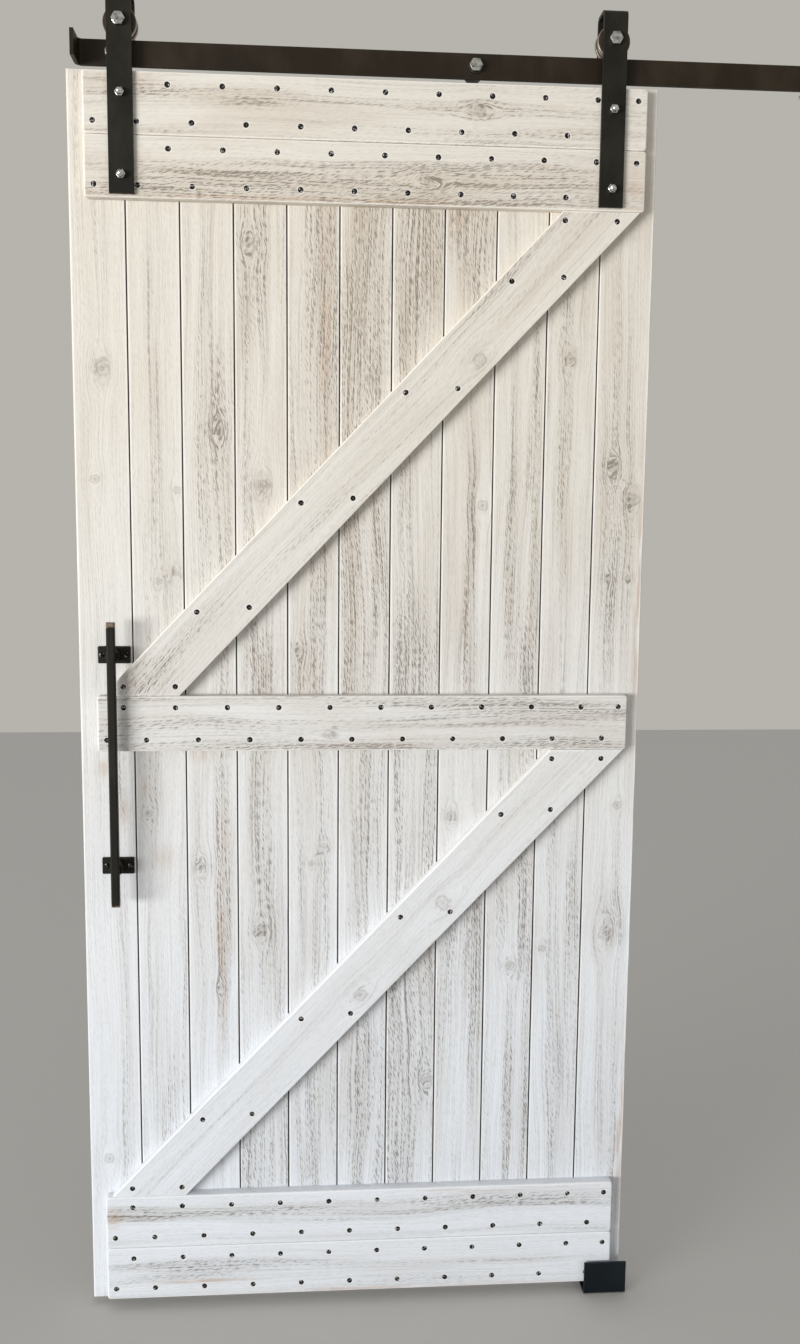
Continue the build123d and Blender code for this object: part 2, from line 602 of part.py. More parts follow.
def axle_nut(x):
    nut = hexagon(BOLT_HEAD_FLATS, AXLE_NUT_THICKNESS)
    nut -= peg(AXLE_DIAMETER / 2 + SEAT_CLEARANCE, -1, AXLE_NUT_THICKNESS + 1)
    return to_wall(x, FOLD_BACK_Y, AXLE_Z) * nut


def post_places():
    """Height of each handle post. The upper one's plate lies just above the upper brace."""
    plate_right = HANDLE_X + PLATE_WIDTH / 2
    plate_bottom = brace_edge_z(plate_right, *brace_places()["brace_upper"]) + PLATE_BRACE_GAP
    upper = plate_bottom + PLATE_HEIGHT / 2
    return {"upper": upper, "lower": upper - POST_SPACING}


def handle_bar():
    """Square steel bar with eased edges and ends."""
    posts = post_places()
    top = posts["upper"] + HANDLE_TOP_END
    length = top - posts["lower"] + HANDLE_BOTTOM_END
    middle = Pos(HANDLE_X, BAR_BACK_Y - HANDLE_DEPTH / 2, top - length / 2)
    bar = Box(HANDLE_WIDTH, HANDLE_DEPTH, length)
    front_edges = bar.faces().sort_by(Axis.Y)[0].edges()
    return middle * chamfer(front_edges, HANDLE_EDGE)


def handle_post(z):
    length = HANDLE_STANDOFF - PLATE_THICKNESS
    return to_front(HANDLE_X, PLANK_FRONT_Y - PLATE_THICKNESS, z) * peg(POST_DIAMETER / 2, 0, length)


def plate_screw_columns():
    return [HANDLE_X - PLATE_SCREW_SPACING / 2, HANDLE_X + PLATE_SCREW_SPACING / 2]


def handle_plate(z):
    outline = Pos(HANDLE_X, z) * RectangleRounded(PLATE_WIDTH, PLATE_HEIGHT, PLATE_CORNER_RADIUS)
    plate = extrude(front_plane(PLANK_FRONT_Y) * outline, PLATE_THICKNESS)
    hole = peg(SCREW_SHANK_DIAMETER / 2 + SEAT_CLEARANCE, -1, PLATE_THICKNESS + 1)
    for x in plate_screw_columns():
        plate -= to_front(x, PLANK_FRONT_Y, z) * hole
    return plate


def handle_screws():
    """Round-headed screws through the plates into the first plank."""
    radius = SCREW_SHANK_DIAMETER / 2
    head = PLATE_SCREW_HEAD_DIAMETER / 2
    screw = turned((0, -PLATE_SCREW_LENGTH), (radius / 4, -PLATE_SCREW_LENGTH),
                   (radius, SCREW_POINT - PLATE_SCREW_LENGTH), (radius, 0), (head, 0),
                   (head, PLATE_SCREW_HEAD_HEIGHT / 2), (head * 0.6, PLATE_SCREW_HEAD_HEIGHT),
                   (0, PLATE_SCREW_HEAD_HEIGHT))
    seat = PLANK_FRONT_Y - PLATE_THICKNESS
    places = [(x, z) for z in post_places().values() for x in plate_screw_columns()]
    return Compound([to_front(x, seat, z) * screw for x, z in places])


def guide_screw_columns():
    return [GUIDE_MID_X - GUIDE_SCREW_SPACING / 2, GUIDE_MID_X + GUIDE_SCREW_SPACING / 2]


def guide_mid_y():
    return (BOARD_FRONT_Y + PLANK_BACK_Y) / 2


def floor_guide():
    """Channel of folded plate. Its two walls stand clear of the door's faces."""
    inside = PLANK_BACK_Y - BOARD_FRONT_Y + 2 * GUIDE_PLAY
    top = FLOOR_Z + GUIDE_HEIGHT
    middle = (FLOOR_Z + top) / 2
    outer = Pos(guide_mid_y(), middle) * Rectangle(inside + 2 * GUIDE_PLATE, GUIDE_HEIGHT)
    outer = fillet(outer.vertices().group_by(Axis.Y)[0], GUIDE_BEND_RADIUS + GUIDE_PLATE)
    inner = Pos(guide_mid_y(), middle + GUIDE_PLATE) * Rectangle(inside, GUIDE_HEIGHT)
    inner = fillet(inner.vertices().group_by(Axis.Y)[0], GUIDE_BEND_RADIUS)
    channel = upright(outer - inner, GUIDE_LENGTH, GUIDE_MID_X)
    neck = (GUIDE_SCREW_DIAMETER + GUIDE_SCREW_PLAY) / 2
    head = (GUIDE_SCREW_HEAD_DIAMETER + GUIDE_SCREW_PLAY) / 2
    hole = turned((0, -1), (neck, -1), (neck, GUIDE_PLATE - GUIDE_SCREW_HEAD_DEPTH), (head, GUIDE_PLATE),
                  (head, GUIDE_PLATE + 1), (0, GUIDE_PLATE + 1))
    for x in guide_screw_columns():
        channel -= Pos(x, guide_mid_y(), FLOOR_Z) * hole
    return channel


def floor_guide_screws():
    """Countersunk screws, flush with the channel's base, that go down into the floor."""
    head = GUIDE_SCREW_HEAD_DIAMETER / 2
    neck = GUIDE_SCREW_DIAMETER / 2
    thread = GUIDE_SCREW_THREAD_DIAMETER / 2
    end = -GUIDE_SCREW_THREAD_LENGTH
    screw = turned((0, GUIDE_PLATE), (head, GUIDE_PLATE), (neck, GUIDE_PLATE - GUIDE_SCREW_HEAD_DEPTH),
                   (neck, 0), (thread, 0), (thread, end + SCREW_POINT), (thread / 4, end), (0, end))
    return Compound([Pos(x, guide_mid_y(), FLOOR_Z) * screw for x in guide_screw_columns()])


def frame_pieces():
    """What is fixed to the wall and the floor."""
    pieces = {"rail": rail(), "rail_washers": rail_washers()}
    for number, x in enumerate(bolt_columns(), start=1):
        pieces[f"rail_spacer_{number}"] = rail_spacer(x)
    pieces["wall_bolts"] = Compound([wall_bolt(x) for x in bolt_columns()])
    pieces["floor_guide"] = floor_guide()
    pieces["floor_guide_screws"] = floor_guide_screws()
    return pieces


def door_pieces():
    """The door leaf with its boards, braces and wood screws."""
    pieces = {f"plank_{index + 1:02d}": plank(index) for index in range(PLANK_COUNT)}
    for name, place in board_places().items():
        pieces[name] = board(*place)
        pieces[f"{name}_screws"] = screws_at(board_screw_places(*place))
    for name, (bottom, top) in brace_places().items():
        pieces[name] = brace(bottom, top, BRACE_TIP_CUT if name == "brace_upper" else 0.0)
        pieces[f"{name}_screws"] = screws_at(brace_screw_places(bottom, top))
    return pieces


def hanger_pieces():
    """Both hangers with their bolts, wheels, bearings and axles."""
    makers = {"hanger": hanger, "strap_bolts": strap_bolts, "cap_nuts": cap_nuts, "wheel": wheel,
              "bearing_outer": bearing_outer, "bearing_inner": bearing_inner, "axle_sleeves": axle_sleeves,
              "axle_bolt": axle_bolt, "axle_nut": axle_nut}
    return {f"{name}_{side}": make(x) for side, x in HANGERS.items() for name, make in makers.items()}


def handle_pieces():
    """The pull handle."""
    pieces = {"handle_bar": handle_bar(), "handle_screws": handle_screws()}
    for level, z in post_places().items():
        pieces[f"handle_post_{level}"] = handle_post(z)
        pieces[f"handle_plate_{level}"] = handle_plate(z)
    return pieces


os.makedirs("parts", exist_ok=True)
for group in (frame_pieces(), door_pieces(), hanger_pieces(), handle_pieces()):
    for node, shape in group.items():
        export_step(shape, f"parts/{node}.step")
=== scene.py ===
import json
import math

import bmesh
import bpy
import numpy as np
from mathutils import Matrix, Vector


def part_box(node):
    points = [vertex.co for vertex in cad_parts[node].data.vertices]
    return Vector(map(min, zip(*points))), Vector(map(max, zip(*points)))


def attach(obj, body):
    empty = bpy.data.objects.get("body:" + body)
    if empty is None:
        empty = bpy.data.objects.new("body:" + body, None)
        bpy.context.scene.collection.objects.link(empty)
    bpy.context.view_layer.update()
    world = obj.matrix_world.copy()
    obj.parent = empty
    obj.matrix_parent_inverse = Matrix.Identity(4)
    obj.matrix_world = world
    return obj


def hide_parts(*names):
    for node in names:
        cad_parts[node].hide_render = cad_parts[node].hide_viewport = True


# Sliding barn door: looks. All lengths are in metres, in the part's own frame: X along the rail,
# Y into the wall, Z up, origin on the wall's face in the middle of the rail bolts.

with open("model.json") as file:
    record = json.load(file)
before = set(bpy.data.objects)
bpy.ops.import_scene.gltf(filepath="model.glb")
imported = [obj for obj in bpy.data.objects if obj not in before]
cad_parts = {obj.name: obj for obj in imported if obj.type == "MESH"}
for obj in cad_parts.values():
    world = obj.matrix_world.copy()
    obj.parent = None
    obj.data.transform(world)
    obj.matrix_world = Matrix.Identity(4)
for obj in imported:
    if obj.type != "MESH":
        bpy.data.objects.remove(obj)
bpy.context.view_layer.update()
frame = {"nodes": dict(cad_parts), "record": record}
NODES = frame["nodes"]

MM = 0.001

# The photograph's camera
CAMERA_PLACE = Vector((-0.5731, -2.158, -0.7362))
CAMERA_YAW = 0.07666
CAMERA_PITCH = -0.12577
CAMERA_ROLL = -0.00954
CAMERA_LENS = 32.95
CAMERA_SENSOR = 36.0

# The wood's pieces and sizes, as in the solids
BOARDS = ("top_board_upper", "top_board_lower", "middle_board", "bottom_board_upper", "bottom_board_lower")
PLANK_COUNT = 11
PLANK_ARRIS = 1.5 * MM
TONGUE_LENGTH = 6 * MM
TONGUE_THICKNESS = 6 * MM
TONGUE_PLAY = 0.2 * MM
BOARD_CORNER_RADIUS = 5 * MM
BOARD_EDGE_RADIUS = 3 * MM
BRACE_EDGE = 2 * MM
BRACE_WIDTH = 95 * MM
BRACE_TIP_CUT = 24 * MM

# Sizes of the fasteners, as in the solids
SCREW_POINT = 7 * MM
WOOD_SCREW_HEAD_HEIGHT = 3 * MM
HANDLE_SCREW_SHANK = 2 * MM
HANDLE_SCREW_HEAD_HEIGHT = 2.5 * MM

# Recesses in screw heads, as pairs of radius and depth from the floor's middle to the rim
WOOD_SCREW_RECESS = [(0.5 * MM, 1.25 * MM), (1.35 * MM, 1.2 * MM), (1.55 * MM, 0.12 * MM)]
HANDLE_SCREW_RECESS = [(0.5 * MM, 1.3 * MM), (1.2 * MM, 1.25 * MM), (1.4 * MM, 0.05 * MM)]
RECESS_LOBES = 6
RECESS_SWELL = 0.22
SCREW_SIDES = 18

# Threads on plain stems of the solids
WALL_BOLT_THREAD = {"point": 8 * MM, "root": 5 * MM, "crest": 6 * MM, "pitch": 4.5 * MM}
GUIDE_SCREW_THREAD = {"point": SCREW_POINT, "root": 2.2 * MM, "crest": 2.7 * MM, "pitch": 2.2 * MM}
RIDGE_HALF_WIDTH_SHARE = 0.28
RIDGE_SINK = 0.1 * MM
THREAD_STEPS = 20
THREAD_TIP_SHARE = 0.25

# Between faces at less than these angles the shading is smooth
SMOOTH_ANGLE = math.radians(35)
WOOD_SMOOTH_ANGLE = math.radians(40)

# How finely the wood is modelled: even steps, and the first points from an edge or an end
GRAIN_STEP = 12 * MM
ACROSS_STEP = 2 * MM
PLANK_EDGE_POINTS = np.array([0, 0.3, 0.8, 1.5, 2.4]) * MM
PLANK_END_POINTS = np.array([0, 1.5, 5]) * MM
BOARD_EDGE_POINTS = np.array([0, 0.4, 1.0, 1.8, 3.0, 5.0]) * MM
BRACE_EDGE_POINTS = np.array([0, 0.5, 1.2, 2.0, 3.2]) * MM
BRACE_END_POINTS = np.array([0, 0.8, 1.6, 2.8, 6]) * MM

# Brushed grain: its depth, the way over which it fades in from an edge, and how long and wide its
# broad and its fine waves are
RELIEF_DEPTH = 0.35 * MM
RELIEF_FADE = 4 * MM
BROAD_GRAIN = (300 * MM, 12 * MM)
FINE_GRAIN = (90 * MM, 4.5 * MM)
BROAD_SHARE = 0.55

# Random tables. A plank's own number is its seed, so the others start above
LATTICE_SIZE = 64
FIRST_BOARD_SEED = 21
BRACE_SEEDS = {"brace_upper": 31, "brace_lower": 32}
SEAM_SEED_SHIFT = 60
ARRIS_SEED_SHIFT = 90

# The two sides of a plank read rows of the table that are this far apart
ARRIS_ROW_GAP = 3.0
SEAM_ROW_GAP = 5.0

# Every piece reads another stretch of the material's noise, farther off by this for each seed
NOISE_SHIFT = np.array([0.71, 0, 0.37])

# How worn the whitewash is all over each piece, from 0 for a thick coat to 1 for a thin one
WEAR = {
    "plank_01": 0.00, "plank_02": 0.20, "plank_03": 0.20, "plank_04": 0.40, "plank_05": 0.45,
    "plank_06": 0.42, "plank_07": 0.48, "plank_08": 0.25, "plank_09": 0.25, "plank_10": 0.22,
    "plank_11": 0.15, "top_board_upper": 0.35, "top_board_lower": 0.18, "middle_board": 0.52,
    "bottom_board_upper": 0.05, "bottom_board_lower": 0.00, "brace_upper": 0.30, "brace_lower": 0.15,
}

# The three lists below are in millimetres. Knots: piece, X, Z and radius
KNOTS = [
    ("plank_01", -912, -497, 12), ("plank_01", -927, -679, 8), ("plank_01", -927, -1890, 9),
    ("plank_02", -791, -695, 6), ("plank_02", -795, -835, 6), ("plank_02", -824, -850, 6),
    ("plank_02", -847, -1254, 6), ("plank_03", -722, -595, 8), ("plank_03", -759, -1350, 8),
    ("plank_03", -726, -1574, 5), ("plank_04", -669, -288, 8), ("plank_04", -646, -688, 11),
    ("plank_04", -655, -1469, 10), ("plank_05", -586, -966, 6), ("plank_05", -540, -1316, 5),
    ("plank_05", -564, -1347, 5), ("plank_07", -354, -1752, 9), ("plank_08", -270, -716, 9),
    ("plank_08", -316, -1263, 8), ("plank_09", -206, -1542, 8), ("plank_10", -124, -466, 8),
    ("plank_10", -147, -1510, 6), ("plank_11", -44, -648, 9), ("plank_11", -6, -704, 11),
    ("plank_11", -46, -840, 4), ("plank_11", -9, -839, 4), ("plank_11", -18, -1247, 7),
    ("plank_11", -32, -1484, 13), ("top_board_upper", -287, -73, 9), ("top_board_lower", -371, -189, 8),
    ("middle_board", -530, -1113, 6), ("brace_upper", -282, -474, 11), ("brace_lower", -331, -1417, 13),
    ("brace_lower", -477, -1584, 11),
]

# Streaks where the coat is thin and the brushed grain shows: piece, X, Z, half sizes along X and Z,
# and strength, which adds to the piece's own wear
STREAKS = [
    ("plank_01", -905, -1190, 24, 70, 0.3), ("plank_01", -915, -800, 24, 240, 0.2),
    ("plank_01", -900, -1900, 20, 120, 0.3), ("plank_02", -825, -500, 22, 260, 0.4),
    ("plank_02", -800, -900, 24, 160, 0.3), ("plank_02", -835, -1220, 20, 90, 0.4),
    ("plank_02", -815, -1800, 20, 160, 0.4), ("plank_03", -740, -500, 24, 300, 0.35),
    ("plank_03", -720, -560, 18, 90, 0.5), ("plank_03", -720, -1450, 15, 270, 0.9),
    ("plank_03", -735, -900, 26, 160, 0.35), ("plank_04", -655, -330, 16, 120, 0.5),
    ("plank_04", -650, -1010, 30, 70, 0.6), ("plank_04", -640, -1400, 20, 120, 0.35),
    ("plank_04", -650, -1900, 30, 110, 0.5), ("plank_05", -536, -400, 14, 230, 1.1),
    ("plank_05", -575, -1000, 26, 70, 0.6), ("plank_05", -560, -1850, 20, 120, 0.4),
    ("plank_06", -470, -330, 36, 170, 0.9), ("plank_06", -499, -480, 15, 140, 0.7),
    ("plank_06", -452, -800, 12, 150, 0.9), ("plank_06", -498, -900, 12, 170, 0.8),
    ("plank_06", -457, -1260, 16, 160, 0.7), ("plank_06", -480, -1820, 26, 130, 0.5),
    ("plank_07", -400, -330, 28, 160, 0.7), ("plank_07", -360, -270, 20, 80, 0.6),
    ("plank_07", -382, -990, 30, 90, 0.8), ("plank_07", -356, -1240, 10, 140, 0.7),
    ("plank_07", -413, -1800, 12, 190, 1.0), ("plank_07", -354, -1745, 18, 60, 0.7),
    ("plank_08", -300, -260, 34, 110, 0.9), ("plank_08", -288, -850, 12, 230, 0.7),
    ("plank_08", -290, -980, 26, 110, 0.5), ("plank_08", -265, -1590, 12, 190, 1.0),
    ("plank_09", -178, -600, 8, 220, 1.0), ("plank_09", -220, -860, 8, 200, 1.0),
    ("plank_09", -190, -980, 14, 110, 0.6), ("plank_09", -183, -1480, 9, 90, 0.8),
    ("plank_09", -205, -1810, 8, 190, 1.1), ("plank_09", -173, -1810, 8, 190, 1.1),
    ("plank_10", -125, -700, 26, 160, 0.25), ("plank_10", -110, -1800, 30, 140, 0.45),
    ("plank_10", -95, -1500, 14, 110, 0.4), ("plank_08", -290, -1480, 24, 130, 0.6),
    ("plank_07", -370, -1560, 30, 130, 0.6), ("plank_09", -200, -1330, 30, 120, 0.6),
    ("plank_06", -455, -1780, 18, 210, 0.6), ("plank_11", -20, -1450, 26, 60, 0.6),
    ("plank_11", -10, -1950, 20, 130, 0.5), ("plank_10", -120, -360, 28, 110, 0.3),
    ("plank_11", -20, -760, 22, 220, 0.5), ("plank_11", -50, -700, 22, 300, 0.35),
    ("plank_11", -15, -1330, 14, 160, 0.6), ("plank_11", -35, -1800, 30, 160, 0.4),
    ("top_board_upper", -850, -52, 60, 12, 0.6), ("top_board_upper", -660, -72, 50, 9, 0.6),
    ("top_board_upper", -300, -75, 80, 18, 0.4), ("top_board_lower", -745, -193, 200, 20, 1.1),
    ("top_board_lower", -400, -185, 180, 18, 1.0), ("top_board_lower", -150, -172, 70, 22, 0.6),
    ("top_board_lower", -600, -218, 420, 9, 0.8), ("middle_board", -880, -1047, 60, 5, 0.8),
    ("middle_board", -500, -1135, 320, 6, 0.7), ("middle_board", -300, -1060, 160, 12, 0.6),
    ("middle_board", -120, -1125, 100, 10, 0.6), ("bottom_board_upper", -640, -1988, 260, 14, 0.7),
    ("bottom_board_upper", -230, -1978, 200, 14, 1.0), ("bottom_board_upper", -560, -2010, 200, 8, 0.6),
    ("bottom_board_upper", -880, -1988, 60, 18, 0.7), ("bottom_board_lower", -800, -2095, 110, 14, 0.9),
    ("bottom_board_lower", -640, -2088, 180, 12, 0.8), ("bottom_board_lower", -250, -2100, 180, 10, 0.6),
    ("bottom_board_lower", -420, -2140, 300, 7, 0.5), ("brace_upper", -850, -1005, 45, 35, 0.9),
]

# Patches of bare brown wood, in the same form
BARE_PATCHES = [
    ("plank_01", -922, -1174, 12, 12, 0.6), ("plank_01", -891, -1247, 12, 22, 0.5),
    ("plank_02", -850, -1212, 12, 22, 0.4), ("plank_02", -822, -1335, 22, 20, 0.4),
    ("plank_03", -754, -1150, 20, 7, 0.9), ("plank_03", -722, -1420, 10, 200, 0.6),
    ("plank_05", -540, -400, 9, 210, 0.6), ("plank_08", -322, -243, 14, 26, 0.7),
    ("plank_11", 7, -880, 6, 220, 0.8), ("plank_11", 8, -1860, 7, 180, 0.9),
    ("top_board_upper", -860, -43, 50, 6, 0.5), ("top_board_lower", -500, -223, 420, 4, 0.8),
    ("top_board_lower", -25, -180, 14, 30, 0.5), ("bottom_board_upper", -918, -1995, 13, 16, 1.0),
    ("bottom_board_upper", -270, -1962, 90, 6, 0.7), ("bottom_board_lower", -766, -2121, 66, 3.5, 1.0),
    ("bottom_board_lower", -400, -2147, 260, 4, 0.7), ("brace_upper", -872, -1022, 18, 10, 0.6),
]

# How steeply streaks and patches fade from their middles, and the most that wear adds up to
PATCH_FALL = 0.9
MOST_WEAR = 1.4

# Painted shade, with some dirt, in the seam at a plank's edge: its width, the part that fades out, and the
# core that stays dark.
# Beside the core it is open by at least a share, in waves along the plank
SEAM_DARK_WIDTH = 1.1 * MM
SEAM_FADE = 0.6 * MM
SEAM_CORE = 0.5 * MM
LEAST_OPEN = 0.35
SEAM_WAVE = 160 * MM

# From this plank on and this height up, the coat fills the seams more and more, up to a share
FIRST_FILLED_PLANK = 6
SEAM_FILLED_FROM = -1100 * MM
SEAM_FILLING_LENGTH = 350 * MM
MOST_FILLED = 0.7

# How round a plank's arris is, as shares of its size, and the length of its waves
LEAST_ARRIS = 0.6
ARRIS_SWING = 0.8
ARRIS_WAVE = 70 * MM

# Bright rims: a painted highlight along the rounded arrises. A plank's begins and ends at distances from
# its edge, and is weaker on its right side, which faces away from the light. A board's and a brace's are
# brightest at one distance and fade over another; a brace's upper edge, which faces the light, gets the
# stronger one
PLANK_RIM_START = 0.8 * MM
PLANK_RIM_RISE = 0.7 * MM
PLANK_RIM_END = 3.2 * MM
PLANK_RIM_FALL = 1.2 * MM
PLANK_RIGHT_RIM = 0.5
BOARD_RIM_MIDDLE = 1.2 * MM
BOARD_RIM_FADE = 2.0 * MM
BOARD_RIM = 0.8
BRACE_RIM_MIDDLE = 1.0 * MM
BRACE_RIM_FADE = 1.8 * MM
BRACE_UPPER_RIM = 0.9
BRACE_LOWER_RIM = 0.3

# A chip out of the seam between two planks
CHIP_Z = -1448 * MM
CHIP_HALF_LENGTH = 7 * MM
CHIP_DEPTH = 2.5 * MM
CHIPPED_PLANKS = ("plank_04", "plank_05")

# A knot bends the grain out to this many of its radii, fading over the last ones. It bends it less
# where the next knot is nearly as close: at full strength it needs this lead, as a share
KNOT_REACH = 7
KNOT_FADE = 3
FULL_LEAD = 0.5
LEAST_SHARE = 0.03

# Keeps divisions from zero
TINY = 1e-6

# A screw's mark on the coat ends well inside this distance
SCREW_MARK_REACH = 18 * MM
BEYOND_SCREW_MARKS = 20 * MM

# A place that is off every piece of wood
NOWHERE = 9.0

# Colours of the wood, each in the warm light at the door's top and in the cool light at its foot
PAINT = ((0.752, 0.712, 0.638, 1), (0.79, 0.83, 0.88, 1))
THIN_PAINT = ((0.47, 0.405, 0.32, 1), (0.50, 0.50, 0.50, 1))
TAN_PAINT = ((0.60, 0.52, 0.42, 1), (0.65, 0.64, 0.63, 1))
THICK_PAINT = ((0.9, 0.86, 0.8, 1), (0.9, 0.92, 0.94, 1))
RIM_HIGHLIGHT_PAINT = ((0.96, 0.92, 0.85, 1), (0.93, 0.94, 0.95, 1))
WARM_HEIGHT = -0.3
COOL_HEIGHT = -2.0

# Colours of the wood that are the same everywhere
GRAIN_BROWN = (0.27, 0.225, 0.18, 1)
BARE_BROWN = (0.46, 0.30, 0.19, 1)
PIT_SHADE_BROWN = (0.15, 0.12, 0.095, 1)
KNOT_BROWN = (0.20, 0.165, 0.13, 1)
SCREW_LIP_AND_HIGHLIGHT = (0.93, 0.92, 0.90, 1)
SCREW_HOLE_SHADE = (0.022, 0.017, 0.013, 1)
SEAM_SHADE = (0.022, 0.018, 0.014, 1)

# Where the grip's black paint is rubbed off near its two ends: height, and how far the bare metal reaches
RUBBED = [(-917 * MM, 8 * MM), (-1409 * MM, 3 * MM)]
RUBBED_RAGGEDNESS = 14 * MM
RUBBED_STEEL = (0.30, 0.215, 0.15, 1)

# How round the edges of the metal look
STEEL_EASING = 0.9 * MM
FASTENER_EASING = 0.35 * MM
WHEEL_EASING = 0.5 * MM

# Half the bright strip on the groove's floor, the radii where it and the bright tread begin, and how
# far each edge is blurred
GROUND_HALF_WIDTH = 4.2 * MM
GROUND_RADIUS = 22.8 * MM
GROUND_BLUR = 0.8 * MM
TREAD_RADIUS = 26.6 * MM
TREAD_BLUR = 0.7 * MM

# Studio
BACKDROP = (0.47, 0.455, 0.415, 1)
FILL = (1, 1, 1, 1)
FILL_STRENGTH = 0.50
KEY_PLACE = Vector((-9.6, -7.85, -1.4))
KEY_TARGET = Vector((-0.47, -0.05, -1.1))
KEY_WIDTH = 7.0
KEY_HEIGHT = 3.6
KEY_POWER = 1500
FLOOR_MIDDLE_X = -0.4
FLOOR_REACH = 6.0
FLOOR_COLOUR = (0.60, 0.585, 0.55, 1)


class Shader:
    """Builds one material out of nodes."""

    def __init__(self, name):
        self.material = bpy.data.materials.new(name)
        self.material.use_nodes = True
        self.tree = self.material.node_tree
        self.surface = self.tree.nodes["Principled BSDF"]

    def feed(self, socket, value):
        if isinstance(value, bpy.types.NodeSocket):
            self.tree.links.new(value, socket)
        else:
            socket.default_value = value

    def add(self, kind, inputs=None, **settings):
        node = self.tree.nodes.new(kind)
        for key, value in settings.items():
            setattr(node, key, value)
        for key, value in (inputs or {}).items():
            self.feed(node.inputs[key], value)
        return node

    def finish(self, **inputs):
        """Sets the surface. Spaces in its sockets' names are written as underscores."""
        for key, value in inputs.items():
            self.feed(self.surface.inputs[key.replace("_", " ")], value)
        return self.material

    def math(self, operation, first, second=0.0):
        return self.add("ShaderNodeMath", {0: first, 1: second}, operation=operation).outputs[0]

    def total(self, *values):
        result = values[0]
        for value in values[1:]:
            result = self.math("ADD", result, value)
        return result

    def product(self, *values):
        result = values[0]
        for value in values[1:]:
            result = self.math("MULTIPLY", result, value)
        return result

    def vector(self, operation, first, second=(0, 0, 0)):
        node = self.add("ShaderNodeVectorMath", {0: first, 1: second}, operation=operation)
        return node.outputs["Value" if operation in ("DISTANCE", "LENGTH", "DOT_PRODUCT") else "Vector"]

    def split(self, vector):
        return self.add("ShaderNodeSeparateXYZ", {0: vector}).outputs

    def join(self, x, y, z):
        return self.add("ShaderNodeCombineXYZ", {0: x, 1: y, 2: z}).outputs[0]

    def noise(self, where, stretch, detail=3.0, roughness=0.5):
        """Noise whose features measure about one over the stretch along each axis."""
        scaled = self.vector("MULTIPLY", where, stretch)
        inputs = {"Vector": scaled, "Scale": 1.0, "Detail": detail, "Roughness": roughness}
        return self.add("ShaderNodeTexNoise", inputs).outputs["Fac"]

    def step(self, value, low, high):
        """Goes smoothly from 0 at low to 1 at high."""
        inputs = {"Value": value, "From Min": low, "From Max": high}
        return self.add("ShaderNodeMapRange", inputs, interpolation_type="SMOOTHSTEP").outputs["Result"]

    def spread(self, value, low, high):
        """Carries 0 to 1 over to low to high."""
        inputs = {"Value": value, "To Min": low, "To Max": high}
        return self.add("ShaderNodeMapRange", inputs).outputs["Result"]

    def mix(self, share, first, second):
        node = self.add("ShaderNodeMix", data_type="RGBA")
        self.feed(node.inputs[0], share)
        self.feed(node.inputs[6], first)
        self.feed(node.inputs[7], second)
        return node.outputs[2]

    def bump(self, height, normal=None):
        """Relief from a height in metres."""
        inputs = {"Height": height, "Distance": 1.0, "Strength": 1.0}
        if normal is not None:
            inputs["Normal"] = normal
        return self.add("ShaderNodeBump", inputs).outputs["Normal"]

    def attribute(self, name, output="Fac"):
        return self.add("ShaderNodeAttribute", attribute_name=name).outputs[output]

    def object_place(self):
        return self.add("ShaderNodeTexCoord").outputs["Object"]


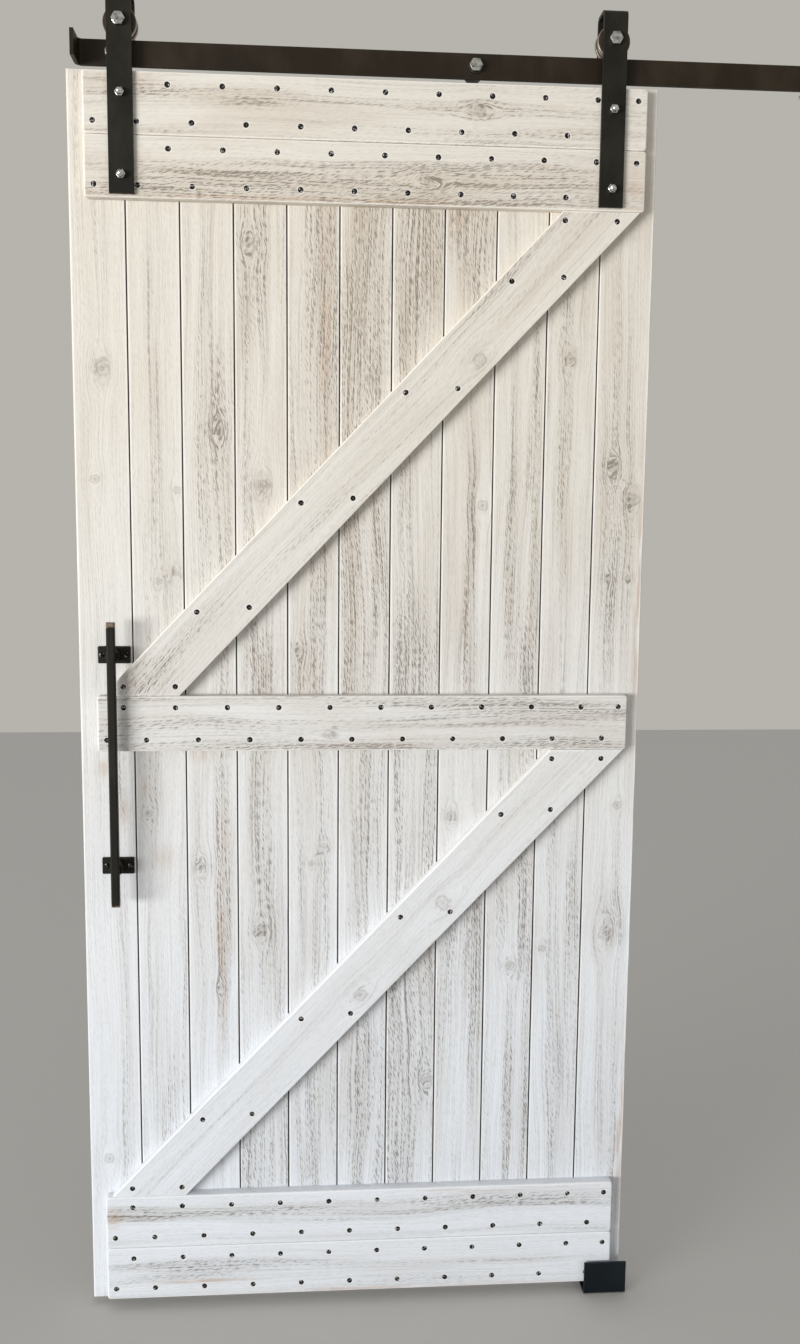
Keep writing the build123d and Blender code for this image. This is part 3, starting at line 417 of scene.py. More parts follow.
def whitewashed_wood():
    """Brushed pine under a worn coat of whitewash. Its grain follows attributes of the pieces."""
    wood = Shader("whitewashed_wood")
    u, v, w = wood.split(wood.attribute("grain", "Vector"))
    knot_u, knot_v, knot_radius = wood.split(wood.attribute("knot", "Vector"))
    wear = wood.attribute("wear")
    bare = wood.attribute("bare")
    rim = wood.attribute("rim")
    seam = wood.attribute("seam")
    screw_away = wood.vector("LENGTH", wood.attribute("screw", "Vector"))
    place = wood.object_place()
    height = wood.split(place)[2]

    # Growth lines pass round a knot as water passes round a stone
    knot_away = wood.math("DIVIDE", wood.vector("LENGTH", wood.join(knot_u, knot_v, 0.0)), knot_radius)
    long_away = wood.vector("LENGTH", wood.join(wood.product(knot_u, 0.45), knot_v, 0.0))
    reach = wood.math("DIVIDE", long_away, knot_radius)
    fall = wood.math("MAXIMUM", wood.product(reach, reach), 1.0)
    aside = wood.math("DIVIDE", wood.product(knot_v, 1.3), fall)
    sway = wood.product(wood.math("SUBTRACT", wood.noise(wood.join(u, v, w), (1.7, 7, 9), 2.0), 0.5), 0.05)
    flow_v = wood.total(wood.math("SUBTRACT", v, aside), sway)
    flow = wood.join(u, flow_v, w)
    slanted = wood.join(u, wood.total(flow_v, wood.product(u, 0.2)), w)

    band = wood.noise(flow, (1.3, 42, 9), 4.0, 0.6)
    line = wood.noise(flow, (2.4, 300, 45), 3.0, 0.6)
    column = wood.noise(flow, (5, 420, 60), 2.0)
    fibre = wood.noise(flow, (26, 1100, 300), 2.0)
    dash = wood.noise(slanted, (85, 480, 200), 1.5)
    cloud = wood.noise(flow, (3, 24, 10), 3.0)
    patch = wood.noise(flow, (9, 120, 30), 3.0, 0.6)

    near_knot = wood.step(knot_away, 4.0, 1.0)
    worn = wood.step(wood.total(band, wood.product(wear, 0.34), wood.product(near_knot, 0.10)), 0.46, 0.98)
    worn_lines = wood.product(wood.step(line, 0.48, 0.66), wood.spread(worn, 0.14, 1.0))
    in_columns = wood.total(dash, wood.product(wood.math("SUBTRACT", column, 0.5), 0.9))
    dash_share = wood.spread(wood.step(worn, 0.15, 0.85), 0.16, 1.0)
    shaded_pits = wood.product(wood.step(in_columns, 0.56, 0.68), dash_share)
    specks = wood.product(wood.step(in_columns, 0.47, 0.38), wood.spread(worn, 0.12, 0.5))

    # Coats of paint, then what shows through them
    # Painted light: each coat turns from the warm light's tint at the door's top to the cool light's tint
    # at its foot
    cool_light_share = wood.step(height, WARM_HEIGHT, COOL_HEIGHT)
    paint = wood.mix(cool_light_share, *PAINT)
    thin_paint = wood.mix(cool_light_share, *THIN_PAINT)
    tan_paint = wood.mix(cool_light_share, *TAN_PAINT)
    thick_paint = wood.mix(cool_light_share, *THICK_PAINT)
    rim_highlight_paint = wood.mix(cool_light_share, *RIM_HIGHLIGHT_PAINT)
    tan_share = wood.product(wood.step(cloud, 0.42, 0.72), wood.spread(wear, 0.25, 0.8))
    colour = wood.mix(tan_share, paint, tan_paint)
    colour = wood.mix(wood.product(worn, 0.56), colour, thin_paint)
    colour = wood.mix(wood.product(wood.step(fibre, 0.42, 0.68), 0.16), colour, thin_paint)
    colour = wood.mix(wood.product(worn_lines, 0.36), colour, GRAIN_BROWN)
    bare_share = wood.product(bare, wood.step(patch, 0.34, 0.58))
    colour = wood.mix(wood.product(bare_share, 0.75), colour, BARE_BROWN)
    # Dark dashes in the brushed grain's pits: the wood's darker grain there, with painted shade from the
    # pits' relief
    colour = wood.mix(wood.product(shaded_pits, 0.66), colour, PIT_SHADE_BROWN)
    colour = wood.mix(wood.product(specks, 0.5), colour, thick_paint)

    # Knots: a disc with growth rings, a dark outline and a darker core
    uneven = wood.product(wood.math("SUBTRACT", wood.noise(place, (120, 120, 120), 3.0), 0.5), 1.3)
    knot_edge = wood.total(knot_away, uneven)
    disc = wood.step(knot_edge, 1.05, 0.85)
    outline = wood.product(wood.step(knot_edge, 0.70, 0.92), wood.step(knot_edge, 1.25, 1.0))
    core = wood.step(knot_edge, 0.42, 0.10)
    knot_rings = wood.step(wood.math("SINE", wood.product(knot_edge, 17.0)), 0.3, 1.0)
    knot_dark = wood.total(wood.product(disc, 0.11), wood.product(outline, 0.18), wood.product(core, 0.24),
                           wood.product(knot_rings, disc, 0.12))
    colour = wood.mix(knot_dark, colour, KNOT_BROWN)

    # Painted highlight along the rims. Round each screw, a lip of raised paint with a painted highlight on
    # it, and painted shade in the hole the head sits in
    rim_highlight_share = wood.product(rim, wood.spread(wood.step(patch, 0.62, 0.72), 0.9, 0.35))
    colour = wood.mix(rim_highlight_share, colour, rim_highlight_paint)
    ragged = wood.total(screw_away, wood.product(uneven, 1.6 * MM))
    shaded_hole = wood.step(ragged, 5.0 * MM, 4.1 * MM)
    lip_and_highlight = wood.product(wood.step(ragged, 4.6 * MM, 5.1 * MM), wood.step(ragged, 6.4 * MM, 5.6 * MM))
    colour = wood.mix(wood.product(lip_and_highlight, 0.5), colour, SCREW_LIP_AND_HIGHLIGHT)
    colour = wood.mix(wood.product(shaded_hole, 0.93), colour, SCREW_HOLE_SHADE)
    # Painted shade, with some dirt, in the seams between planks and on their side walls
    colour = wood.mix(wood.product(seam, 0.96), colour, SEAM_SHADE)

    relief = wood.total(wood.product(line, wood.spread(worn, 0.35 * MM, 0.7 * MM)),
                        wood.product(fibre, 0.14 * MM), wood.product(shaded_pits, -0.45 * MM),
                        wood.product(dash, wood.spread(worn, 0.25 * MM, 0.55 * MM)),
                        wood.product(knot_rings, disc, 0.12 * MM), wood.product(shaded_hole, -0.8 * MM))
    return wood.finish(Base_Color=colour, Roughness=wood.spread(line, 0.5, 0.75), Specular_IOR_Level=0.3,
                       Normal=wood.bump(relief))


def eased_normal(look, radius):
    """The normal that rounds off sharp edges."""
    return look.add("ShaderNodeBevel", {"Radius": radius}, samples=6).outputs[0]


def edge_share(look, eased):
    """How close a point is to a sharp outer edge, from the normal that eases the edge."""
    straight = look.add("ShaderNodeNewGeometry").outputs["Normal"]
    return look.step(look.vector("DOT_PRODUCT", eased, straight), 0.995, 0.86)


def painted_steel(name, base, cloudy, worn_edge, roughness):
    """Satin black steel with faint clouding, fine grit and edges where the colour is thin."""
    steel = Shader(name)
    place = steel.object_place()
    cloud = steel.noise(place, (14, 14, 9), 4.0, 0.6)
    grit = steel.noise(place, (900, 900, 900), 2.0)
    scuff = steel.noise(place, (60, 60, 420), 3.0, 0.6)
    patch = steel.noise(place, (160, 160, 160), 3.0, 0.6)
    eased = eased_normal(steel, STEEL_EASING)
    colour = steel.mix(steel.step(cloud, 0.4, 0.72), base, cloudy)
    colour = steel.mix(steel.product(steel.step(scuff, 0.60, 0.74), 0.3), colour, cloudy)
    rubbed_edge = steel.product(edge_share(steel, eased), steel.step(scuff, 0.42, 0.58), 0.55)
    colour = steel.mix(rubbed_edge, colour, worn_edge)
    for height, reach in RUBBED:
        away = steel.math("ABSOLUTE", steel.math("SUBTRACT", steel.split(place)[2], height))
        ragged = steel.total(away, steel.product(steel.math("SUBTRACT", patch, 0.5), RUBBED_RAGGEDNESS))
        rubbed = steel.product(steel.step(ragged, reach + 1.5 * MM, reach), steel.spread(scuff, 0.3, 1.0))
        colour = steel.mix(rubbed, colour, RUBBED_STEEL)
    return steel.finish(Base_Color=colour, Roughness=steel.spread(cloud, *roughness),
                        Specular_IOR_Level=0.22, Normal=steel.bump(steel.product(grit, 0.035 * MM), eased))


def black_screws():
    """Black heads with chips of whitewash left on them."""
    head = Shader("black_screws")
    chip = head.noise(head.object_place(), (260, 260, 260), 2.0)
    white = head.product(head.step(chip, 0.57, 0.61), 0.75)
    colour = head.mix(white, (0.005, 0.0045, 0.004, 1), (0.62, 0.59, 0.55, 1))
    return head.finish(Base_Color=colour, Roughness=0.6, Specular_IOR_Level=0.15)


def bright_metal(name, colour, roughness, dulling=0.7):
    """Plated or ground metal with clouding, down to a share of its colour, and eased edges."""
    metal = Shader(name)
    place = metal.object_place()
    cloud = metal.noise(place, (160, 160, 160), 3.0)
    grit = metal.noise(place, (1500, 1500, 1500), 2.0)
    eased = eased_normal(metal, FASTENER_EASING)
    dull = tuple(dulling * channel for channel in colour[:3]) + (1.0,)
    return metal.finish(Base_Color=metal.mix(metal.step(cloud, 0.35, 0.8), colour, dull), Metallic=1.0,
                        Roughness=metal.spread(cloud, *roughness),
                        Normal=metal.bump(metal.product(grit, 0.012 * MM), eased))


def wheel_iron():
    """Dark reddish brown iron, ground bright on the groove's floor and turned bright on the tread."""
    iron = Shader("wheel_iron")
    place = iron.object_place()
    x, y, z = iron.split(place)
    flat = iron.join(x, 0.0, z)
    centres = []
    for side in ("left", "right"):
        low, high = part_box(f"wheel_{side}")
        middle = (low + high) / 2
        centres.append(iron.vector("DISTANCE", flat, (middle.x, 0, middle.z)))
    away = iron.math("MINIMUM", *centres)
    depth = iron.math("ABSOLUTE", iron.math("SUBTRACT", y, middle.y))
    ground = iron.product(iron.step(depth, GROUND_HALF_WIDTH + GROUND_BLUR, GROUND_HALF_WIDTH),
                          iron.step(away, GROUND_RADIUS - GROUND_BLUR, GROUND_RADIUS))
    cloud = iron.noise(place, (60, 60, 60), 4.0, 0.6)
    tread = iron.step(away, TREAD_RADIUS - TREAD_BLUR, TREAD_RADIUS)
    shine = iron.math("MAXIMUM", ground, iron.product(tread, 0.85))
    colour = iron.mix(iron.step(cloud, 0.4, 0.7), (0.030, 0.019, 0.013, 1), (0.060, 0.036, 0.024, 1))
    colour = iron.mix(shine, colour, (0.42, 0.37, 0.32, 1))
    return iron.finish(Base_Color=colour, Metallic=shine, Roughness=iron.spread(cloud, 0.28, 0.45),
                       Normal=eased_normal(iron, WHEEL_EASING))


MATERIALS = {
    "whitewashed_wood": whitewashed_wood(),
    "black_steel": painted_steel("black_steel", (0.009, 0.0085, 0.0055, 1), (0.018, 0.017, 0.011, 1),
                                 (0.12, 0.085, 0.06, 1), (0.38, 0.55)),
    "black_screws": black_screws(),
    "bright_zinc": bright_metal("bright_zinc", (0.80, 0.80, 0.79, 1), (0.14, 0.30)),
    "bearing_steel": bright_metal("bearing_steel", (0.55, 0.55, 0.55, 1), (0.2, 0.35)),
    "wheel_iron": wheel_iron(),
}
RAIL_STEEL = painted_steel("rail_steel", (0.016, 0.0105, 0.0055, 1), (0.028, 0.019, 0.0105, 1),
                           (0.10, 0.08, 0.06, 1), (0.40, 0.55))
GUIDE_STEEL = painted_steel("guide_steel", (0.003, 0.0065, 0.010, 1), (0.006, 0.011, 0.015, 1),
                            (0.16, 0.17, 0.18, 1), (0.42, 0.55))
# Zinc with strong dark clouding, down to about a fifth of its colour
CLOUDED_ZINC = bright_metal("clouded_zinc", (0.72, 0.72, 0.70, 1), (0.14, 0.30), 0.22)
# The washers' zinc is darkened: painted shade under the bolt heads, with a painted reflection of dark
# surroundings
SHADED_WASHER_ZINC = bright_metal("shaded_washer_zinc", (0.075, 0.068, 0.060, 1), (0.45, 0.60))
OWN_LOOKS = {"rail": RAIL_STEEL, "floor_guide": GUIDE_STEEL, "rail_washers": SHADED_WASHER_ZINC,
             "wall_bolts": CLOUDED_ZINC, "axle_bolt_left": CLOUDED_ZINC, "axle_bolt_right": CLOUDED_ZINC}
SLOT_OF = {entry["node"]: entry["material_slot"] for entry in frame["record"]["subparts"]}


def paint_as(piece, node):
    """Gives a piece the look of a node."""
    piece.data.materials.clear()
    piece.data.materials.append(OWN_LOOKS.get(node, MATERIALS[SLOT_OF[node]]))


def add_object(name, data):
    added = bpy.data.objects.new(name, data)
    bpy.context.scene.collection.objects.link(added)
    return added


def show(mesh, node, body, smooth_angle):
    """Puts a mesh in the scene in place of a solid."""
    mesh.shade_smooth()
    mesh.set_sharp_from_angle(angle=smooth_angle)
    piece = add_object(mesh.name, mesh)
    paint_as(piece, node)
    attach(piece, body)
    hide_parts(node)


def lattice_noise(x, y, seed):
    """Smooth random values from 0 to 1 on a plane."""
    table = np.random.default_rng(seed).random((LATTICE_SIZE, LATTICE_SIZE))
    left = np.floor(x).astype(int)
    lower = np.floor(y).astype(int)
    fx = x - left
    fy = y - lower
    fx = fx * fx * (3 - 2 * fx)
    fy = fy * fy * (3 - 2 * fy)
    right = (left + 1) % LATTICE_SIZE
    upper = (lower + 1) % LATTICE_SIZE
    left = left % LATTICE_SIZE
    lower = lower % LATTICE_SIZE
    below = table[left, lower] * (1 - fx) + table[right, lower] * fx
    above = table[left, upper] * (1 - fx) + table[right, upper] * fx
    return below * (1 - fy) + above * fy


def clustered(length, step, edges):
    """Places from 0 to length: the given offsets at both ends and even steps between."""
    inner = edges[-1]
    count = max(1, round((length - 2 * inner) / step))
    middle = [inner + (length - 2 * inner) * index / count for index in range(1, count)]
    return np.array(list(edges) + middle + [length - edge for edge in reversed(edges)])


def soft_patches(node, x, z, patches):
    """Strength of a piece's patches at each place, fading from their middles."""
    total = np.zeros_like(x)
    for owner, middle_x, middle_z, half_x, half_z, strength in patches:
        if owner == node:
            away = ((x / MM - middle_x) / half_x) ** 2 + ((z / MM - middle_z) / half_z) ** 2
            total += strength * np.exp(-PATCH_FALL * away)
    return total


def loose_boxes(node):
    """The boxes of the separate solids in a node."""
    mesh = NODES[node].data
    parent = list(range(len(mesh.vertices)))

    def root(index):
        while parent[index] != index:
            parent[index] = parent[parent[index]]
            index = parent[index]
        return index

    seen = {}
    for vertex in mesh.vertices:
        first = seen.setdefault(tuple(round(c / (0.01 * MM)) for c in vertex.co), vertex.index)
        parent[root(vertex.index)] = root(first)
    for edge in mesh.edges:
        first, second = edge.vertices
        parent[root(first)] = root(second)
    groups = {}
    for vertex in mesh.vertices:
        groups.setdefault(root(vertex.index), []).append(vertex.co)
    places = [np.array(group) for group in groups.values()]
    return [(group.min(axis=0), group.max(axis=0)) for group in places]


def box_middles(node):
    """The middles of the separate solids in a node."""
    return [(low + high) / 2 for low, high in loose_boxes(node)]


def copies(points, faces, places):
    """The points and faces of one shape repeated at each place."""
    every = np.concatenate([points + np.array(place) for place in places])
    polygons = [tuple(corner + index * len(points) for corner in face)
                for index in range(len(places)) for face in faces]
    return every.tolist(), polygons


def rim_stripe(edge, middle, fade):
    """How bright a rim's painted highlight is at a distance from an edge."""
    return np.clip(1 - np.abs(edge - middle) / fade, 0, 1)


def edge_depth(edge, radius):
    """Depth of a rounded edge at a distance from it."""
    inside = np.clip(radius - edge, 0, None)
    return radius - np.sqrt(np.clip(radius ** 2 - inside ** 2, 0, None))


class WoodPiece:
    """One piece of wood. U runs along its grain, V across it and W into it from its front."""

    def __init__(self, node, origin, along, across, seed):
        self.node = node
        self.origin = np.array(origin, float)
        self.axes = np.array([along, across, (0, 1, 0)], float)
        self.seed = seed

    def relief(self, u, v):
        """Depth of the brushed grain below the face."""
        broad = lattice_noise(u / BROAD_GRAIN[0], v / BROAD_GRAIN[1], self.seed)
        fine = lattice_noise(u / FINE_GRAIN[0], v / FINE_GRAIN[1], self.seed + 1)
        return RELIEF_DEPTH * (BROAD_SHARE * broad + (1 - BROAD_SHARE) * fine)

    def front_depth(self, u, v, edge, edge_radius):
        """Depth of the front: its rounded edges and its grain, which fades in from them."""
        return edge_depth(edge, edge_radius) + self.relief(u, v) * np.clip(edge / RELIEF_FADE, 0, 1)

    def build(self, u, v, w, sides, rim, seam, wall_seams):
        """Joins the front's grid of points with side walls, a back and two ends into one closed mesh.
        Each side is a list of offsets across the grain and depths, from the front to the back."""
        rows, columns = u.shape
        local = [np.stack([u, v, w], axis=-1).reshape(-1, 3)]
        rims = [rim.ravel()]
        seams = [seam.ravel()]
        index = np.arange(rows * columns).reshape(rows, columns)
        corners = [index[:-1, :-1], index[:-1, 1:], index[1:, 1:], index[1:, :-1]]
        faces = [np.stack(corners, axis=-1).reshape(-1, 4)]
        count = rows * columns
        chains = []
        for side, levels, wall_seam in zip((0, -1), sides, wall_seams):
            chain = [index[:, side]]
            for offset, depth in levels:
                local.append(np.stack([u[:, side], v[:, side] + offset, np.full(rows, depth)], axis=-1))
                rims.append(np.zeros(rows))
                seams.append(np.full(rows, wall_seam))
                chain.append(np.arange(count, count + rows))
                count += rows
            for near, far in zip(chain, chain[1:]):
                wall = np.stack([near[:-1], near[1:], far[1:], far[:-1]], axis=-1)
                faces.append(wall if side == 0 else wall[:, ::-1])
            chains.append(chain)
        painted = np.concatenate(faces).ravel()
        left, right = chains[0][-1], chains[1][-1]
        faces.append(np.stack([left[:-1], left[1:], right[1:], right[:-1]], axis=-1))
        polygons = np.concatenate(faces).tolist()
        for row in (0, -1):
            loop = [int(index[row, j]) for j in range(columns)]
            loop += [int(level[row]) for level in chains[1][1:]]
            loop += [int(level[row]) for level in reversed(chains[0][1:])]
            polygons.append(loop[::-1] if row == 0 else loop)
        self.dress(np.concatenate(local), polygons, painted, np.concatenate(rims), np.concatenate(seams))

    def dress(self, local, polygons, painted, rims, seams):
        """Makes the mesh and writes what its material reads. The painted highlight on the rims and the
        painted shade in the seams stay on the first faces, the front and the sides, whose corners are the
        painted points."""
        places = self.origin + local @ self.axes
        x, z = places[:, 0], places[:, 2]
        mesh = bpy.data.meshes.new(self.node + "_wood")
        mesh.from_pydata(places.tolist(), [], polygons)
        wear = WEAR[self.node] + soft_patches(self.node, x, z, STREAKS)
        self.write(mesh, "grain", local + self.seed * NOISE_SHIFT)
        self.write(mesh, "wear", np.clip(wear, 0, MOST_WEAR))
        self.write(mesh, "bare", np.clip(soft_patches(self.node, x, z, BARE_PATCHES), 0, 1))
        for name, values in (("rim", rims), ("seam", seams)):
            corners = np.zeros(len(mesh.loops), np.float32)
            corners[:len(painted)] = values[painted]
            mesh.attributes.new(name, "FLOAT", "CORNER").data.foreach_set("value", corners)
        knots = [(knot_x * MM, knot_z * MM, radius * MM)
                 for owner, knot_x, knot_z, radius in KNOTS if owner == self.node]
        self.write(mesh, "knot", self.nearest(local, knots or [(NOWHERE, NOWHERE, 1 * MM)]))
        screws = []
        if self.node + "_screws" in NODES:
            screws = [(x, z, 0.0) for x, y, z in box_middles(self.node + "_screws")]
        ways = self.nearest(local, screws or [(NOWHERE, NOWHERE, 0.0)])
        # Far from every screw a third length keeps the way's own length from passing through zero
        far = np.hypot(ways[:, 0], ways[:, 1]) > SCREW_MARK_REACH
        ways[:, 2] = np.where(far, BEYOND_SCREW_MARKS, 0)
        self.write(mesh, "screw", ways)
        show(mesh, self.node, "door", WOOD_SMOOTH_ANGLE)

    def nearest(self, local, spots):
        """From each point, the way along and across the grain to the nearest spot, and that spot's size.
        The size shrinks far from the spot and midway to the next one, where it has no influence."""
        marks = []
        for x, z, size in spots:
            away = np.array([x - self.origin[0], 0, z - self.origin[2]])
            marks.append((away @ self.axes[0], away @ self.axes[1], size))
        marks = np.array(marks)
        gaps = local[:, None, :2] - marks[None, :, :2]
        away = np.sqrt((gaps ** 2).sum(axis=-1))
        best = np.argmin(away, axis=1)
        rows = np.arange(len(local))
        size = marks[best, 2]
        reach = away[rows, best] / np.maximum(size, TINY)
        share = np.clip((KNOT_REACH - reach) / KNOT_FADE, LEAST_SHARE, 1)
        if len(marks) > 1:
            first, second = np.sort(away, axis=1)[:, :2].T
            ahead = second / np.maximum(first, TINY) - 1
            share = share * np.clip(ahead / FULL_LEAD, LEAST_SHARE, 1)
        return np.column_stack([gaps[rows, best], size * share])

    @staticmethod
    def write(mesh, name, values):
        if values.ndim == 1:
            layer = mesh.attributes.new(name, "FLOAT", "POINT")
            layer.data.foreach_set("value", values.astype(np.float32))
        else:
            layer = mesh.attributes.new(name, "FLOAT_VECTOR", "POINT")
            layer.data.foreach_set("vector", values.astype(np.float32).ravel())


def build_plank(number):
    """A tongue-and-groove plank with a rounded arris on each side of its face."""
    node = f"plank_{number:02d}"
    low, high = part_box(node)
    grooved = number > 1
    tongued = number < PLANK_COUNT
    width = high.x - low.x - (TONGUE_LENGTH if tongued else 0)
    thickness = high.y - low.y
    piece = WoodPiece(node, (low.x, low.y, low.z), (0, 0, 1), (1, 0, 0), number)
    across = clustered(width, ACROSS_STEP, PLANK_EDGE_POINTS)
    along = clustered(high.z - low.z, GRAIN_STEP, PLANK_END_POINTS)
    u, v = np.meshgrid(along, across, indexing="ij")
    on_left = v < width / 2
    edge = np.minimum(v, width - v)
    height = u + low.z
    waves = lattice_noise(u / ARRIS_WAVE, number + on_left * ARRIS_ROW_GAP, number + ARRIS_SEED_SHIFT)
    radius = PLANK_ARRIS * (LEAST_ARRIS + ARRIS_SWING * waves)
    if node in CHIPPED_PLANKS:
        chipped_side = on_left == (node == CHIPPED_PLANKS[1])
        radius = radius + chipped_side * CHIP_DEPTH * np.exp(-((height - CHIP_Z) / CHIP_HALF_LENGTH) ** 2)
    w = piece.front_depth(u, v, edge, radius)
    # Painted highlight along each arris, half as strong on the right side, which faces away from the light
    fall = np.clip((PLANK_RIM_END - edge) / PLANK_RIM_FALL, 0, 1)
    rise = np.clip((edge - PLANK_RIM_START) / PLANK_RIM_RISE, 0, 1)
    rim = fall * rise * np.where(on_left, 1.0, PLANK_RIGHT_RIM)
    left_seam = 1.0 if grooved else 0.0
    right_seam = 1.0 if tongued else 0.0
    seam = np.clip((SEAM_DARK_WIDTH - edge) / SEAM_FADE, 0, 1) * np.where(on_left, left_seam, right_seam)
    waves = lattice_noise(u / SEAM_WAVE, on_left * SEAM_ROW_GAP, number + SEAM_SEED_SHIFT)
    openness = LEAST_OPEN + (1 - LEAST_OPEN) * waves
    if number >= FIRST_FILLED_PLANK:
        filling = np.clip((height - SEAM_FILLED_FROM) / SEAM_FILLING_LENGTH, 0, 1)
        openness = openness * (1 - MOST_FILLED * filling)
    seam = seam * np.where(edge > SEAM_CORE, openness, 1)
    middle = thickness / 2
    half_tongue = TONGUE_THICKNESS / 2
    half_groove = half_tongue + TONGUE_PLAY
    left = [(0, thickness)]
    if grooved:
        left = [(0, middle - half_groove), (TONGUE_LENGTH, middle - half_groove),
                (TONGUE_LENGTH, middle + half_groove), (0, middle + half_groove), (0, thickness)]
    right = [(0, thickness)]
    if tongued:
        right = [(0, middle - half_tongue), (TONGUE_LENGTH, middle - half_tongue),
                 (TONGUE_LENGTH, middle + half_tongue), (0, middle + half_tongue), (0, thickness)]
    piece.build(u, v, w, (left, right), rim, seam, (left_seam, right_seam))


def build_board(node, seed):
    """A board across the planks, its outline's corners and its front edge rounded."""
    low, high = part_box(node)
    length = high.x - low.x
    width = high.z - low.z
    thickness = high.y - low.y
    piece = WoodPiece(node, (low.x, low.y, high.z), (1, 0, 0), (0, 0, -1), seed)
    along = clustered(length, GRAIN_STEP, BOARD_EDGE_POINTS)
    across = clustered(width, ACROSS_STEP, BOARD_EDGE_POINTS)
    u, v = np.meshgrid(along, across, indexing="ij")
    # Points beyond the outline's corner arcs are drawn in onto them
    corner_u = np.clip(u, BOARD_CORNER_RADIUS, length - BOARD_CORNER_RADIUS)
    corner_v = np.clip(v, BOARD_CORNER_RADIUS, width - BOARD_CORNER_RADIUS)
    away = np.hypot(u - corner_u, v - corner_v)
    square_away = np.maximum(np.abs(u - corner_u), np.abs(v - corner_v))
    pull = np.where(away > 0, square_away / np.maximum(away, TINY * MM), 1)
    u = corner_u + (u - corner_u) * pull
    v = corner_v + (v - corner_v) * pull
    edge = np.clip(BOARD_CORNER_RADIUS - np.hypot(u - corner_u, v - corner_v), 0, None)
    w = piece.front_depth(u, v, edge, BOARD_EDGE_RADIUS)
    # Painted highlight along the rounded edge
    rim = rim_stripe(edge, BOARD_RIM_MIDDLE, BOARD_RIM_FADE) * BOARD_RIM
    side = [(0, thickness)]
    piece.build(u, v, w, (side, side), rim, np.zeros_like(u), (0.0, 0.0))


def build_brace(node, tip_cut, seed):
    """A brace with level ends and eased front edges."""
    low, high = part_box(node)
    left = low.x - tip_cut
    run = high.x - left
    rise = high.z - low.z
    thickness = high.y - low.y
    slope = math.atan2(rise, run) + math.asin(BRACE_WIDTH / math.hypot(run, rise))
    along = (math.cos(slope), 0, math.sin(slope))
    across = (math.sin(slope), 0, -math.cos(slope))
    piece = WoodPiece(node, (left, low.y, low.z), along, across, seed)
    lines = clustered(BRACE_WIDTH, ACROSS_STEP, BRACE_EDGE_POINTS)
    length = rise / math.sin(slope)
    shares = clustered(length, GRAIN_STEP, BRACE_END_POINTS) / length
    share, v = np.meshgrid(shares, lines, indexing="ij")
    lean = v / math.tan(slope)
    start = np.maximum(lean, (tip_cut - v * math.sin(slope)) / math.cos(slope)) if tip_cut else lean
    stop = length + lean
    u = start + share * (stop - start)
    from_ends = np.minimum((u - start) * math.sin(slope), (stop - u) * math.sin(slope))
    edge = np.minimum.reduce([v, BRACE_WIDTH - v, from_ends])
    w = piece.front_depth(u, v, edge, BRACE_EDGE)
    # Painted highlight along the edges, stronger on the upper one, which faces the light
    strength = np.where(v < BRACE_WIDTH / 2, BRACE_UPPER_RIM, BRACE_LOWER_RIM)
    rim = rim_stripe(edge, BRACE_RIM_MIDDLE, BRACE_RIM_FADE) * strength
    side = [(0, thickness)]
    piece.build(u, v, w, (side, side), rim, np.zeros_like(u), (0.0, 0.0))


def screw_shape(recess, outline):
    """Rings of points round the Y axis from pairs of radius and depth, closed at both ends.
    The recess swells and shrinks round the axis as a star does, but for its floor's middle."""
    sides = SCREW_SIDES
    angles = np.arange(sides) * math.tau / sides
    points = []
    for ring, (radius, depth) in enumerate(recess + outline):
        lobes = RECESS_SWELL if 0 < ring < len(recess) else 0.0
        swell = 1 + lobes * np.cos(RECESS_LOBES * angles)
        points.append(np.column_stack([radius * swell * np.cos(angles), np.full(sides, depth),
                                       radius * swell * np.sin(angles)]))
    faces = []
    for ring in range(len(points) - 1):
        near = ring * sides
        far = near + sides
        for side in range(sides):
            after = (side + 1) % sides
            faces.append((near + side, near + after, far + after, far + side))
    last = (len(points) - 1) * sides
    faces.append(tuple(reversed(range(sides))))
    faces.append(tuple(range(last, last + sides)))
    return np.concatenate(points), faces


def wood_screw_outline(radius, reach):
    """A countersunk head with an eased rim, and a pointed shank."""
    shank = radius / 2
    return [(radius - 0.5 * MM, 0), (radius - 0.1 * MM, 0.1 * MM), (radius, 0.35 * MM),
            (shank, WOOD_SCREW_HEAD_HEIGHT), (shank, reach - SCREW_POINT), (0.2 * MM, reach)]


def handle_screw_outline(radius, reach):
    """A domed head on a pointed shank."""
    top = HANDLE_SCREW_HEAD_HEIGHT
    shank = HANDLE_SCREW_SHANK
    return [(radius * 0.6, 0), (radius * 0.85, top * 0.2), (radius, top / 2), (radius, top), (shank, top),
            (shank, reach - SCREW_POINT), (shank / 4, reach)]


def build_screws(node, recess, outline):
    """Screws with a six-lobed recess, each in the box of one of the node's solids."""
    boxes = loose_boxes(node)
    low, high = boxes[0]
    points, faces = screw_shape(recess, outline((high[0] - low[0]) / 2, high[1] - low[1]))
    places = [((low[0] + high[0]) / 2, low[1], (low[2] + high[2]) / 2) for low, high in boxes]
    mesh = bpy.data.meshes.new(node + "_detail")
    every, polygons = copies(points, faces, places)
    mesh.from_pydata(every, [], polygons)
    show(mesh, node, "door", SMOOTH_ANGLE)


